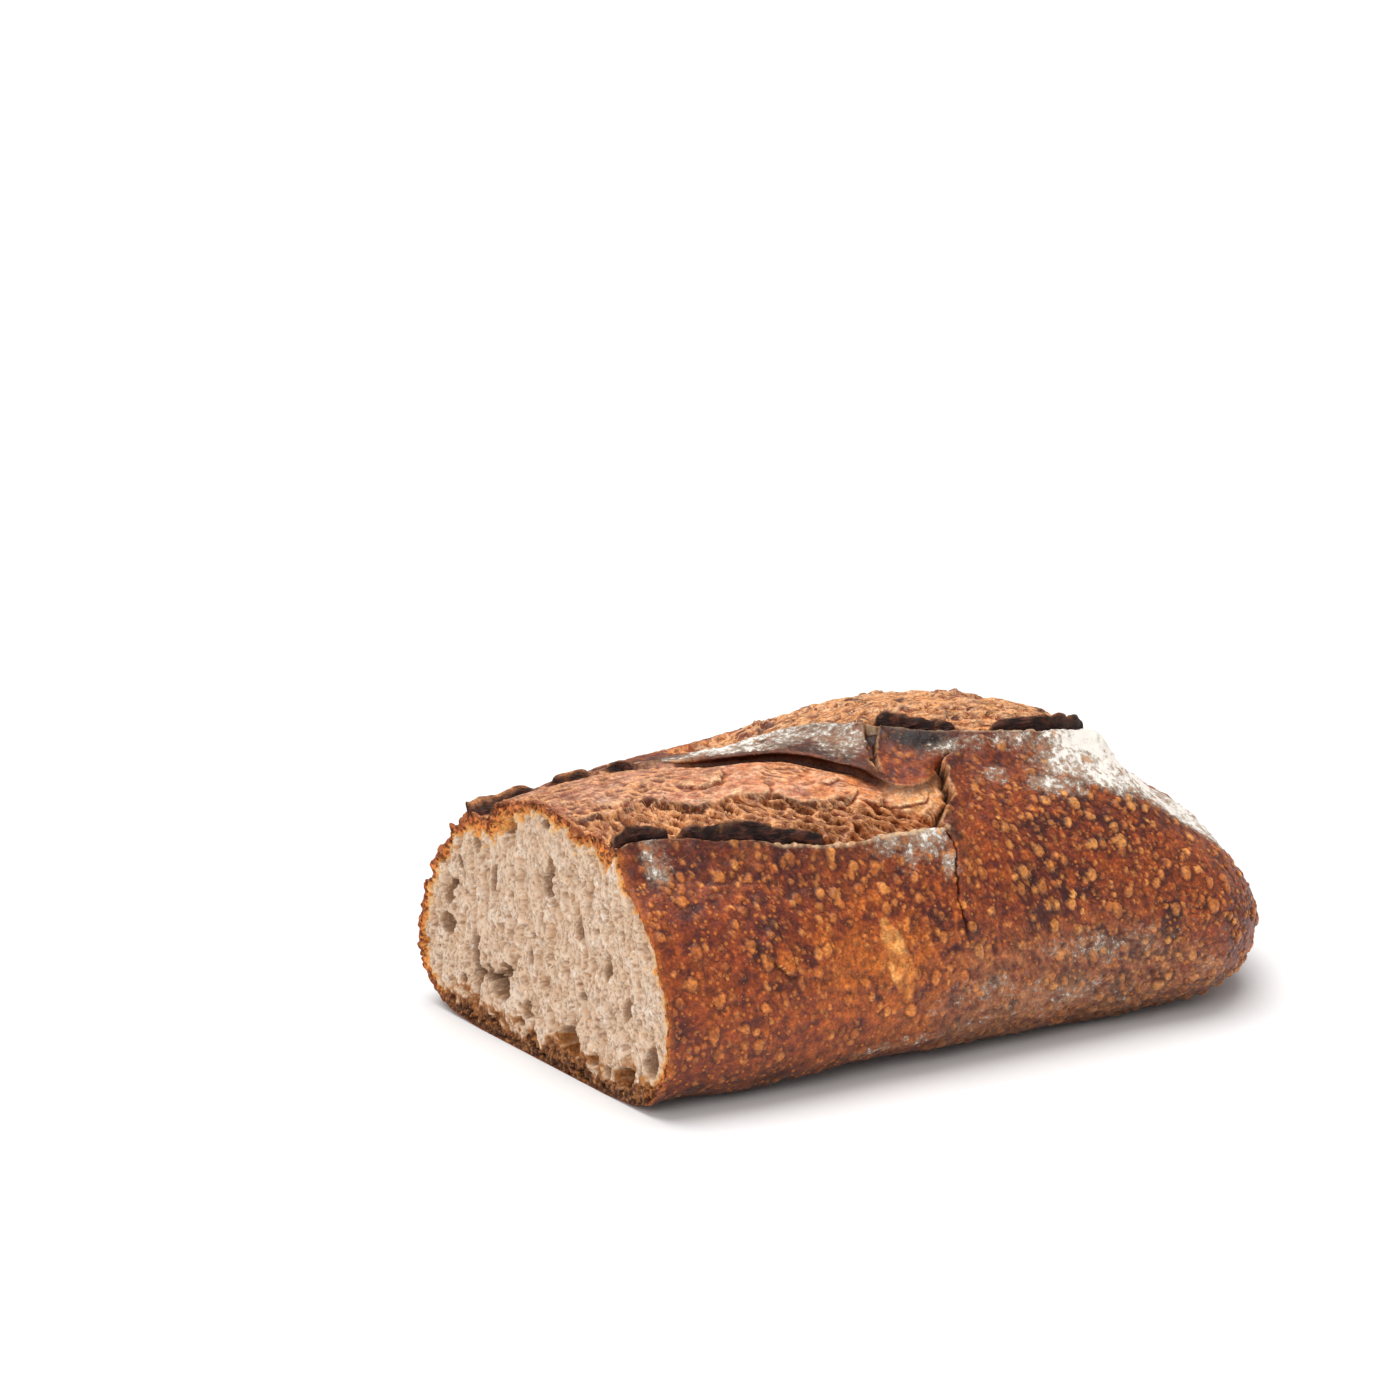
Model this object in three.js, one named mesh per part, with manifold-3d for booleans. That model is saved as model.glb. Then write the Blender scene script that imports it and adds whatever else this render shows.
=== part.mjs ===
// A long sourdough loaf with one end sliced off, as one closed solid.
// Millimetres, +Z up. +X runs from the cut face to the far tip, +Y away from
// the side with the low lip. The origin is under the middle of its box, on
// the surface that the flat bottom crust rests on.
import * as THREE from 'three';
import Module from 'manifold-3d';
import { mergeVertices } from 'three/addons/utils/BufferGeometryUtils.js';

// ---------------------------------------------------------------- sizes
const LENGTH = 244;        // cut face to tip, along the loaf
const X_MID = 115.4;       // where the origin lies along the loaf
const Y_MID = 0.25;        // and across it
const CUT_SLANT = 6;       // degrees that the knife was off square
const CUT_PIVOT = -55;     // the place across the loaf that the slant turns about
const CUT_REACH = 80;      // how far along the loaf the slant fades out

// The body at nine stations along the loaf: height of the crown, half widths
// of the near and the far side, height of the widest level, half widths of
// the flat bottom, and how round the far shoulder is (2 is an ellipse).
const STATION   = [0, 30, 70, 110, 150, 180, 205, 226, 244];
const CROWN     = [84, 87, 91.5, 97, 95.5, 86.5, 67.5, 49.5, 36];
const NEAR_HALF = [70, 72.5, 71.5, 71, 69.5, 69, 69.5, 65, 57];
const FAR_HALF  = [70, 72, 73, 70, 65, 57.5, 48.5, 40, 33];
const WIDEST_AT = [26, 27, 29, 30, 30, 30, 29, 27, 26];
const NEAR_FLAT = [48, 51, 49, 48, 48, 48, 46, 42, 38];
const FAR_FLAT  = [48, 47, 47, 46, 44, 40, 36, 30, 24];
const FAR_ROUND = [1.66, 1.8, 1.95, 2, 2, 2, 2, 2, 2];
const BELLY = 0.42;        // share of the lower quarter turn that is the curved side

// The far end closes over these lengths: the sides, the crown and the belly.
const END_SIDE = { from: 186, power: 2.3 };
const END_CROWN = { from: 210, power: 2.0 };
const END_BELLY = { from: 182, power: 2.6 };

// Two scores burst open in the oven. Each lies between a back lip and a front
// lip, given as millimetres round the section from the crown line (near side
// positive) at places along the loaf. rise is how far the lip stands proud.
const SCORE_1 = {
  back:  { x: [0, 20, 40, 60, 80, 96, 130, 244], s: [-42, -28, -12, 6, 27, 43, 52, 56], rise: [4, 4.5, 4, 3.5, 3, 1.5, 0, 0] },
  front: { x: [0, 20, 40, 60, 80, 100, 130, 244], s: [47, 47.5, 51.5, 57, 62, 66, 72, 72], rise: [6.5, 6, 5, 4, 3.5, 2.5, 0, 0] },
  from: -10, to: 118, valley: 2.6, bulge: 1.5,
};
const SCORE_2 = {
  back:  { x: [0, 40, 60, 80, 110, 140, 165, 190, 244], s: [-68, -38, -36, -40, -42, -38, -26, -6, 0], rise: [0, 0, 2, 3, 3.5, 3.5, 3, 1, 0] },
  front: { x: [0, 40, 60, 80, 100, 120, 145, 170, 190, 244], s: [-60, -22, -9, 0, 14, 27, 33, 29, 16, 12], rise: [0, 0, 2, 3, 3.5, 4, 4.5, 4, 2, 0] },
  from: 48, to: 190, valley: 2.4, bulge: 2.2,
};
const SKIN_REACH = 11;     // how far the skin lifts beside a lip
const LIP_STEP = 0.9;      // width of the step from a lip down into its score

// The larger holes of the crumb, on the cut face: place across and height,
// half width, half height, depth.
const HOLES = [
  { y: -5, z: 58, w: 2.4, h: 4.4, d: 3 },
  { y: 53, z: 43, w: 3.0, h: 3.0, d: 4 },
  { y: 54, z: 30, w: 4.2, h: 3.6, d: 3 },
  { y: 36, z: 24, w: 2.6, h: 9.5, d: 5 },
  { y: 24, z: 23, w: 6.0, h: 5.0, d: 4 },
  { y: -18, z: 13, w: 5.5, h: 4.6, d: 4 },
  { y: -45, z: 8.5, w: 4.0, h: 3.2, d: 5 },
  { y: -60, z: 17, w: 3.2, h: 4.6, d: 4 },
  { y: 17, z: 70, w: 4.0, h: 2.8, d: 3 },
];

const RINGS = 58;          // sections along the loaf
const FILL = { bottom: 9, side: 8, score: 5, bridge: 2 }; // strips between the lips

// ------------------------------------------------------------- functions
const clamp = (v, a, b) => Math.min(b, Math.max(a, v));
const smooth = (a, b, v) => { const t = clamp((v - a) / (b - a), 0, 1); return t * t * (3 - 2 * t); };

// A smooth curve through a short table of sizes.
function table(xs, ys, x) {
  const n = xs.length;
  const slope = (i) => {
    if (i === 0) return (ys[1] - ys[0]) / (xs[1] - xs[0]);
    if (i === n - 1) return (ys[n - 1] - ys[n - 2]) / (xs[n - 1] - xs[n - 2]);
    const a = xs[i] - xs[i - 1], b = xs[i + 1] - xs[i];
    return (a * a * ys[i + 1] + (b * b - a * a) * ys[i] - b * b * ys[i - 1]) / (a * b * (a + b));
  };
  let i = 0;
  while (i < n - 2 && x > xs[i + 1]) i++;
  const h = xs[i + 1] - xs[i], u = clamp((x - xs[i]) / h, 0, 1);
  return (2 * u ** 3 - 3 * u * u + 1) * ys[i] + (u ** 3 - 2 * u * u + u) * h * slope(i)
    + (3 * u * u - 2 * u ** 3) * ys[i + 1] + (u ** 3 - u * u) * h * slope(i + 1);
}

function line(xs, ys, x) {
  let i = 0;
  while (i < xs.length - 2 && x > xs[i + 1]) i++;
  const u = clamp((x - xs[i]) / (xs[i + 1] - xs[i]), 0, 1);
  return ys[i] + (ys[i + 1] - ys[i]) * u;
}

const closing = (x, end) =>
  (1 - clamp((x - end.from) / (LENGTH - end.from), 0, 1) ** end.power) ** (1 / end.power);

// One point of the smooth section at x: turn 0 is the near side, a quarter
// is the crown, a half the far side, three quarters the middle of the bottom.
function sectionPoint(x, turn) {
  const c = Math.cos(turn), s = Math.sin(turn);
  const near = c > 0;
  const side = closing(x, END_SIDE);
  const half = table(STATION, near ? NEAR_HALF : FAR_HALF, x) * side;
  const flat = table(STATION, near ? NEAR_FLAT : FAR_FLAT, x) * side;
  const mid = table(STATION, WIDEST_AT, x);
  const dir = near ? -1 : 1;
  if (s >= 0) {
    const n = near ? 2 : table(STATION, FAR_ROUND, x);
    const top = (table(STATION, CROWN, x) - mid) * closing(x, END_CROWN);
    return [dir * half * Math.abs(c) ** (2 / n), mid + top * s ** (2 / n)];
  }
  const belly = closing(x, END_BELLY);
  const a = Math.asin(clamp(-s, 0, 1)) / (Math.PI / 2);
  const y = a < BELLY ? flat + (half - flat) * Math.cos(a / BELLY * Math.PI / 2)
    : flat * (1 - (a - BELLY) / (1 - BELLY));
  const z = (a < BELLY ? mid * belly * (1 - Math.sin(a / BELLY * Math.PI / 2)) : 0) + mid * (1 - belly);
  return [dir * y, z];
}

// The whole section as a table of arc length from the crown line.
function section(x) {
  const N = 720, pts = [];
  for (let i = 0; i <= N; i++) {
    const turn = (-90 + 360 * i / N) * Math.PI / 180;
    pts.push(sectionPoint(x, (turn + 2 * Math.PI) % (2 * Math.PI)));
  }
  const arc = [0];
  for (let i = 1; i <= N; i++) arc.push(arc[i - 1] + Math.hypot(pts[i][0] - pts[i - 1][0], pts[i][1] - pts[i - 1][1]));
  const crown = arc[N / 2];
  return { pts, s: arc.map((v) => crown - v), near: crown, far: arc[N] - crown };
}

function onSection(sec, s) {
  let lo = 0, hi = sec.s.length - 1;
  while (hi - lo > 1) { const m = (lo + hi) >> 1; if (sec.s[m] > s) lo = m; else hi = m; }
  const u = clamp((sec.s[lo] - s) / Math.max(1e-9, sec.s[lo] - sec.s[hi]), 0, 1);
  const a = sec.pts[lo], b = sec.pts[hi];
  return [a[0] + (b[0] - a[0]) * u, a[1] + (b[1] - a[1]) * u];
}

// How far the surface stands out of the smooth body: skin lifted at the lips,
// and the torn dough inside a score, lowest beside its lips.
function relief(x, s) {
  let out = 0;
  for (const score of [SCORE_1, SCORE_2]) {
    const open = smooth(score.from, score.from + 8, x) * (1 - smooth(score.to - 10, score.to, x));
    const back = line(score.back.x, score.back.s, x), front = line(score.front.x, score.front.s, x);
    const backRise = line(score.back.x, score.back.rise, x), frontRise = line(score.front.x, score.front.rise, x);
    if (s > front) out = Math.max(out, frontRise * Math.exp(-(((s - front) / SKIN_REACH) ** 1.5)));
    else if (s < back) out = Math.max(out, backRise * Math.exp(-(((back - s) / SKIN_REACH) ** 1.5)));
    else {
      const u = (s - back) / Math.max(1, front - back);
      const dip = Math.exp(-(front - s) / 5) + Math.exp(-(s - back) / 5);
      return open * (score.bulge * Math.sin(Math.PI * u) - score.valley * dip);
    }
  }
  return out;
}

// Places round one section, bottom centre to bottom centre: close together at
// the four lips, evenly spread between them.
function places(x, sec) {
  const lips = [line(SCORE_2.back.x, SCORE_2.back.s, x), line(SCORE_2.front.x, SCORE_2.front.s, x),
    line(SCORE_1.back.x, SCORE_1.back.s, x), line(SCORE_1.front.x, SCORE_1.front.s, x)];
  const near = sec.near, far = sec.far;
  const limit = [-far * 0.62, -far * 0.42, near * 0.28, near * 0.5];
  for (let i = 0; i < 4; i++) lips[i] = i < 2 ? Math.max(lips[i], limit[i]) : Math.min(lips[i], limit[i]);
  for (let i = 1; i < 4; i++) lips[i] = Math.max(lips[i], lips[i - 1] + (near + far) * 0.02);
  const gap = (i) => (i < 0 || i > 2 ? 20 : lips[i + 1] - lips[i]);
  const out = [];
  const fill = (a, b, n) => { for (let i = 1; i <= n; i++) out.push(a + (b - a) * i / (n + 1)); };
  const around = (k) => {
    const before = Math.min(5, gap(k - 1) * 0.25), after = Math.min(5, gap(k) * 0.25);
    const opens = k === 0 || k === 2;   // a back lip has its score after it
    const step = Math.min(LIP_STEP, before * 0.4, after * 0.4);
    return opens ? [lips[k] - before, lips[k], lips[k] + step, lips[k] + after]
      : [lips[k] - before, lips[k] - step, lips[k], lips[k] + after];
  };
  const groups = [0, 1, 2, 3].map(around);
  out.push(-far);
  fill(-far, groups[0][0], FILL.bottom + 4);
  out.push(...groups[0]); fill(groups[0][3], groups[1][0], FILL.score);
  out.push(...groups[1]); fill(groups[1][3], groups[2][0], FILL.bridge);
  out.push(...groups[2]); fill(groups[2][3], groups[3][0], FILL.score);
  out.push(...groups[3]); fill(groups[3][3], near, FILL.bottom + FILL.side);
  return out;
}

// ----------------------------------------------------------------- solid
const slant = Math.tan(CUT_SLANT * Math.PI / 180);
const rings = [];
for (let i = 0; i < RINGS; i++) {
  const u = i / RINGS;
  const x = LENGTH * (1 - (1 - u) ** 1.45);
  const sec = section(x);
  rings.push(places(x, sec).map((s) => {
    const p = onSection(sec, s);
    const a = onSection(sec, s + 0.6), b = onSection(sec, s - 0.6);
    const len = Math.hypot(a[0] - b[0], a[1] - b[1]) || 1;
    const ny = -(b[1] - a[1]) / len * -1, nz = -(a[0] - b[0]) / len;
    const edge = Math.sin(Math.PI * clamp((s + sec.far) / (sec.near + sec.far), 0, 1));
    const lift = relief(x, s) * smooth(0, 0.3, edge) * closing(x, END_SIDE);
    const y = p[0] + ny * lift * (p[1] > 1 ? 1 : 0), z = Math.max(0, p[1] + nz * lift * (p[1] > 1 ? 1 : 0));
    return [x - slant * (y - CUT_PIVOT) * (1 - clamp(x / CUT_REACH, 0, 1)) - X_MID, y - Y_MID, z];
  }));
}
const around = rings[0].length;
const tip = [LENGTH - X_MID, -Y_MID, WIDEST_AT[8]];

const positions = [...rings.flat(2), ...tip];
const index = [];
for (let i = 0; i + 1 < RINGS; i++) {
  for (let j = 0; j < around; j++) {
    const k = (j + 1) % around;
    const a = i * around + j, b = i * around + k, c = (i + 1) * around + k, d = (i + 1) * around + j;
    index.push(a, d, b, b, d, c);
  }
}
const last = (RINGS - 1) * around, tipAt = RINGS * around;
for (let j = 0; j < around; j++) index.push(last + j, tipAt, last + (j + 1) % around);

// The cut face closes the first ring. It is one plane.
const rim = rings[0].map((p) => new THREE.Vector2(p[1], p[2]));
for (const [a, b, c] of THREE.ShapeUtils.triangulateShape(rim, [])) index.push(a, b, c);

const skin = new THREE.BufferGeometry();
skin.setAttribute('position', new THREE.Float32BufferAttribute(positions, 3));
skin.setIndex(index);

// Every face points out: the signed volume says which way round they are.
function volume(g) {
  const p = g.attributes.position, ix = g.index;
  const a = new THREE.Vector3(), b = new THREE.Vector3(), c = new THREE.Vector3();
  let v = 0;
  for (let i = 0; i < ix.count; i += 3) {
    a.fromBufferAttribute(p, ix.getX(i)); b.fromBufferAttribute(p, ix.getX(i + 1)); c.fromBufferAttribute(p, ix.getX(i + 2));
    v += a.dot(b.cross(c)) / 6;
  }
  return v;
}

const wasm = await Module();
wasm.setup();
function solid(geometry) {
  const g = geometry.clone();
  for (const name of Object.keys(g.attributes)) if (name !== 'position') g.deleteAttribute(name);
  const m = mergeVertices(g, 1e-4);
  let tri = Uint32Array.from(m.index.array);
  if (volume(m) < 0) tri = tri.map((_, i, t) => t[i - (i % 3) + (2 - (i % 3))]);
  return new wasm.Manifold(new wasm.Mesh({ numProp: 3, vertProperties: Float32Array.from(m.attributes.position.array), triVerts: tri }));
}

// The holes are pockets with an egg shape, half sunk into the cut face.
let loaf = solid(skin);
for (const hole of HOLES) {
  const egg = new THREE.SphereGeometry(1, 9, 6);
  egg.scale(hole.d, hole.w, hole.h);
  egg.rotateZ(THREE.MathUtils.degToRad(CUT_SLANT));
  egg.translate(-slant * (hole.y - CUT_PIVOT) - X_MID, hole.y - Y_MID, hole.z);
  loaf = loaf.subtract(solid(egg));
}

const cut = loaf.getMesh();
const geometry = new THREE.BufferGeometry();
geometry.setAttribute('position', new THREE.Float32BufferAttribute(cut.vertProperties, 3));
geometry.setIndex(Array.from(cut.triVerts));
geometry.computeVertexNormals();

const mesh = new THREE.Mesh(geometry, new THREE.MeshStandardMaterial({ color: 0x8f4a22, roughness: 0.62, metalness: 0 }));
mesh.name = 'loaf';

const root = new THREE.Group();
root.name = 'sourdough_loaf';
root.add(mesh);
export default root;
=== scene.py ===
import math
import bpy
import numpy as np
from mathutils import Matrix, Vector, kdtree
from mathutils.geometry import delaunay_2d_cdt


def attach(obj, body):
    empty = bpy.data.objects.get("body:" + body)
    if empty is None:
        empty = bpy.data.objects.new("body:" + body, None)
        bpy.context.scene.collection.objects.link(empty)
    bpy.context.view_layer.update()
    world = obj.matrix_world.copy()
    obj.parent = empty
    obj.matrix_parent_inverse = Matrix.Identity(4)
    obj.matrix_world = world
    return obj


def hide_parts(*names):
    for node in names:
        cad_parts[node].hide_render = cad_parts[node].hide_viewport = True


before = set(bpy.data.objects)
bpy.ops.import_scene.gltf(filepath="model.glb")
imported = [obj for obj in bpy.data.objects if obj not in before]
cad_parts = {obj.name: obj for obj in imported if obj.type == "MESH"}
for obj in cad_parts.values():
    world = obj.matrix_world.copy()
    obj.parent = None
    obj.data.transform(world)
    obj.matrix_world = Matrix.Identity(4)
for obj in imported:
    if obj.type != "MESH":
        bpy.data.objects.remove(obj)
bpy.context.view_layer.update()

# ----------------------------------------------------------------------------
# Sizes, in millimetres, in a frame with x = 0 at the cut; X_MID, Y_MID move it
# to the CAD frame.
# ----------------------------------------------------------------------------
LENGTH = 244.0
X_MID, Y_MID = 115.4, 0.25
SLANT = math.tan(math.radians(6.0))
CUT_PIVOT, CUT_REACH = -55.0, 80.0

STATION = [0, 30, 70, 110, 150, 180, 205, 226, 244]
CROWN = [84, 87, 91.5, 97, 95.5, 86.5, 67.5, 49.5, 36]
NEAR_HALF = [70, 72.5, 71.5, 71, 69.5, 69, 69.5, 65, 57]
FAR_HALF = [70, 72, 73, 70, 65, 57.5, 48.5, 40, 33]
WIDEST_AT = [26, 27, 29, 30, 30, 30, 29, 27, 26]
NEAR_FLAT = [48, 51, 49, 48, 48, 48, 46, 42, 38]
FAR_FLAT = [48, 47, 47, 46, 44, 40, 36, 30, 24]
FAR_ROUND = [1.66, 1.8, 1.95, 2, 2, 2, 2, 2, 2]
BELLY = 0.42

# lips: place along the loaf -> mm round the section from the crown line
BACK_1 = ([0, 12, 24, 36, 44, 52, 60, 68, 74, 80, 84, 88, 92, 96, 105, 112, 121, 130, 244],
          [-46, -35, -24, -12, -4, 0.6, 4.1, 8.3, 13.5, 21, 24.8, 30.2, 37, 43, 44.7, 40, 33, 40, 56])
FRONT_1 = ([0, 10, 20, 35, 50, 65, 72, 85, 100, 130, 244], [42, 41.2, 43.8, 48.8, 54, 57.4, 58.8, 58.9, 61.3, 66, 72])
BACK_2 = ([0, 40, 60, 80, 110, 140, 165, 190, 244], [-68, -38, -36, -40, -42, -38, -26, -6, 0])
FRONT_2 = ([0, 40, 58, 70, 77, 83, 88, 94, 100, 106, 112, 120, 130, 142, 160, 172, 180, 190, 244],
           [-60, -12, -5.1, -4.2, -3.4, -0.5, 4.1, 10, 15.4, 19, 23.5, 26.6, 29.1, 30.6, 30.8, 28, 24, 14, 10])
# the ragged crest inside the first score, below which the crumb is torn open
CREST = ([0, 12, 25, 36, 50, 57, 64, 79, 87, 94, 101, 110, 120], [19, 19, 17, 28, 28, 34, 40, 43, 48, 50, 57, 64, 70])
# mm round the section -> place along the loaf: the crack that ends the first
# score, and the two sides of the notch that ends the bridge of skin
CRACK = ([30, 34, 37, 40, 43, 46.5, 50, 52, 53.5, 55, 57, 60, 64, 67, 70, 75, 84, 89, 92, 97, 104],
         [123, 121, 117, 114.5, 115, 114, 113.4, 113, 110.5, 108, 106, 104.8, 105, 105.8, 105.8, 104.8, 103.2, 104, 104.3, 105, 106])
NOTCH_L = ([8, 13, 19, 24, 29, 32, 36, 40], [104, 101.5, 98.2, 95.7, 93.7, 92.9, 93.2, 93.4])
NOTCH_R = ([8, 13, 16, 19, 23.5, 28, 31, 34, 40], [112, 107.0, 104.6, 102.0, 98.9, 96.4, 94.9, 94.2, 94])


def ss(a, b, v):
    t = np.clip((v - a) / (b - a), 0.0, 1.0)
    return t * t * (3 - 2 * t)


def mix(a, b, t):
    return a + (b - a) * t


def table(xs, ys, x):
    xs, ys = np.asarray(xs, float), np.asarray(ys, float)
    m = np.gradient(ys, xs)
    i = np.clip(np.searchsorted(xs, x) - 1, 0, len(xs) - 2)
    h = xs[i + 1] - xs[i]
    u = np.clip((x - xs[i]) / h, 0, 1)
    return ((2 * u**3 - 3 * u**2 + 1) * ys[i] + (u**3 - 2 * u**2 + u) * h * m[i]
            + (3 * u**2 - 2 * u**3) * ys[i + 1] + (u**3 - u**2) * h * m[i + 1])


def line(t, x):
    """A lip line, rounded a little at its stations."""
    return np.mean([np.interp(x + o, t[0], t[1]) for o in (-4, -2, 0, 2, 4)], axis=0)


def closing(x, start, power):
    return (1 - np.clip((x - start) / (LENGTH - start), 0, 1) ** power) ** (1 / power)


def section(x, turn):
    c, s = np.cos(turn), np.sin(turn)
    near = c > 0
    side = closing(x, 186, 2.3)
    half = np.where(near, table(STATION, NEAR_HALF, x), table(STATION, FAR_HALF, x)) * side
    flat = np.where(near, table(STATION, NEAR_FLAT, x), table(STATION, FAR_FLAT, x)) * side
    mid = table(STATION, WIDEST_AT, x)
    n = np.where(near, 2.0, table(STATION, FAR_ROUND, x))
    y_top = half * np.abs(c) ** (2 / n)
    z_top = mid + (table(STATION, CROWN, x) - mid) * closing(x, 210, 2.0) * np.abs(s) ** (2 / n)
    belly = closing(x, 182, 2.6)
    a = np.arcsin(np.clip(-s, 0, 1)) / (np.pi / 2)
    y_low = np.where(a < BELLY, flat + (half - flat) * np.cos(a / BELLY * np.pi / 2), flat * (1 - (a - BELLY) / (1 - BELLY)))
    z_low = np.where(a < BELLY, mid * belly * (1 - np.sin(a / BELLY * np.pi / 2)), 0) + mid * (1 - belly)
    top = s >= 0
    return np.where(near, -1, 1) * np.where(top, y_top, y_low), np.where(top, z_top, z_low)


# ----------------------------------------------------------------------------
# Noise
# ----------------------------------------------------------------------------
U = np.uint32


def hash_(seed, *parts):
    h = np.full(np.broadcast(*parts).shape, seed * 2654435761 % 4294967296, dtype=U)
    for p, k in zip(parts, (0x9E3779B1, 0x85EBCA77, 0xC2B2AE3D)):
        h ^= p.astype(np.int64).astype(U) * U(k)
        h ^= h >> U(15)
        h *= U(0x2C1B3C6D)
        h ^= h >> U(12)
    h *= U(0x297A2D39)
    h ^= h >> U(15)
    return h


def rnd(seed, *parts):
    return hash_(seed, *parts).astype(np.float64) / 4294967295.0


def noise(P, size, seed=0):
    """Gradient noise, about -1 to 1. P is (n, 2) or (n, 3) in mm, size is the scale in mm."""
    Q = P / size
    if Q.shape[1] == 2:
        Q = np.column_stack([Q, np.full(len(Q), 0.37)])
    I = np.floor(Q).astype(np.int64)
    F = Q - I
    W = F**3 * (F * (F * 6 - 15) + 10)
    out = np.zeros(len(Q))
    for dx in (0, 1):
        for dy in (0, 1):
            for dz in (0, 1):
                h = hash_(seed, I[:, 0] + dx, I[:, 1] + dy, I[:, 2] + dz)
                gx = ((h & U(1023)).astype(float) / 511.5 - 1)
                gy = (((h >> U(10)) & U(1023)).astype(float) / 511.5 - 1)
                gz = (((h >> U(20)) & U(1023)).astype(float) / 511.5 - 1)
                d = gx * (F[:, 0] - dx) + gy * (F[:, 1] - dy) + gz * (F[:, 2] - dz)
                w = (W[:, 0] if dx else 1 - W[:, 0]) * (W[:, 1] if dy else 1 - W[:, 1]) * (W[:, 2] if dz else 1 - W[:, 2])
                out += w * d
    return out * 1.6


def fbm(P, size, octaves=3, seed=0, gain=0.5):
    out, amp, tot = 0, 1.0, 0
    for k in range(octaves):
        out = out + amp * noise(P + 17.3 * k, size / 2**k, seed + 11 * k)
        tot += amp
        amp *= gain
    return out / tot


def wave(x, size, seed=0, octaves=1):
    x = np.atleast_1d(np.asarray(x, float))
    return fbm(np.column_stack([x, np.full(len(x), seed * 3.1)]), size, octaves, seed)


def cells(P, size, seed=0):
    """Nearest and second nearest distance to scattered points, in cells, and a random number per cell."""
    Q = P / size
    dim = Q.shape[1]
    I = np.floor(Q).astype(np.int64)
    f1, f2, rid = np.full(len(Q), 9.0), np.full(len(Q), 9.0), np.zeros(len(Q))
    steps = np.array(np.meshgrid(*[[-1, 0, 1]] * dim, indexing="ij")).reshape(dim, -1).T
    for st in steps:
        J = [I[:, k] + st[k] for k in range(dim)]
        d2 = np.zeros(len(Q))
        for k in range(dim):
            d2 += (J[k] + 0.08 + 0.84 * rnd(seed + 5 * k + 1, *J) - Q[:, k]) ** 2
        d = np.sqrt(d2)
        closer = d < f1
        f2 = np.where(closer, f1, np.minimum(f2, d))
        rid = np.where(closer, rnd(seed + 77, *J), rid)
        f1 = np.where(closer, d, f1)
    return f1, f2, rid


def domes(P, size, rmin, rmax, share, seed=0, bias=2.0):
    """Scattered round spots in space. Returns 1 at a spot's centre falling to 0 at its rim (below 0 outside), its radius and a random number."""
    Q = P / size
    I = np.floor(Q).astype(np.int64)
    best, rad, rid = np.full(len(Q), -9.0), np.ones(len(Q)), np.zeros(len(Q))
    for dx in (-1, 0, 1):
        for dy in (-1, 0, 1):
            for dz in (-1, 0, 1):
                J = (I[:, 0] + dx, I[:, 1] + dy, I[:, 2] + dz)
                live = rnd(seed + 3, *J) < share
                r = rmin + (rmax - rmin) * rnd(seed + 4, *J) ** bias
                d2 = 0
                for k in range(3):
                    d2 = d2 + ((J[k] + rnd(seed + 5 + k, *J)) * size - P[:, k]) ** 2
                t = np.where(live, 1 - d2 / r**2, -9)
                up = t > best
                best, rad, rid = np.where(up, t, best), np.where(up, r, rad), np.where(up, rnd(seed + 9, *J), rid)
    return best, rad, rid


# ----------------------------------------------------------------------------
# The grid of the skin: rings along the loaf, each sampled round its section,
# closer together at the lips.
# ----------------------------------------------------------------------------
FINE = 1.0
turn = np.linspace(-90, 270, 1441) * np.pi / 180


def ring_table(x):
    """One section with its length round it: near side positive, 0 at the crown, rising from far bottom to near bottom."""
    y, z = section(np.full_like(turn, x), turn)
    S = np.concatenate([[0], np.cumsum(np.hypot(np.diff(y), np.diff(z)))])
    S = S[720] - S
    return y[::-1], z[::-1], S[::-1]


xx = np.linspace(0, LENGTH, 2441)[:-1]
reach = np.array([[table(STATION, NEAR_HALF, v) * closing(v, 186, 2.3), table(STATION, CROWN, v) * closing(v, 210, 2.0)] for v in xx])
step = np.hypot(np.gradient(xx), np.abs(np.gradient(reach, axis=0)).max(axis=1))
want = FINE * (0.56 + 0.10 * ss(118, 132, xx)) / (1 + 0.5 * np.exp(-((xx - 107) / 10) ** 4) + 0.9 * np.exp(-(xx / 4) ** 2))
dens = np.cumsum(step / want)
NX = int(dens[-1])
x_st = np.interp(np.linspace(dens[0], dens[-1] - 0.5, NX), dens, xx)
x_st[0] = 0.0

lips = [line(BACK_2, x_st), line(FRONT_2, x_st), line(BACK_1, x_st), line(FRONT_1, x_st)]
slope = [np.gradient(v, x_st) for v in lips]
lips[0] = lips[0] + 1.4 * wave(x_st, 10, 7, 3) + 0.5 * wave(x_st, 3.0, 8, 2)
lips[1] = lips[1] + 0.5 * wave(x_st, 9, 5, 3) + 0.25 * wave(x_st, 2.8, 6, 2)
lips[2] = lips[2] + 0.5 * wave(x_st, 11, 3, 2) + 0.15 * wave(x_st, 2.8, 4, 2)
lips[3] = lips[3] + 0.8 * wave(x_st, 9, 1, 3) + 0.35 * wave(x_st, 2.6, 2, 2)

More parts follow.
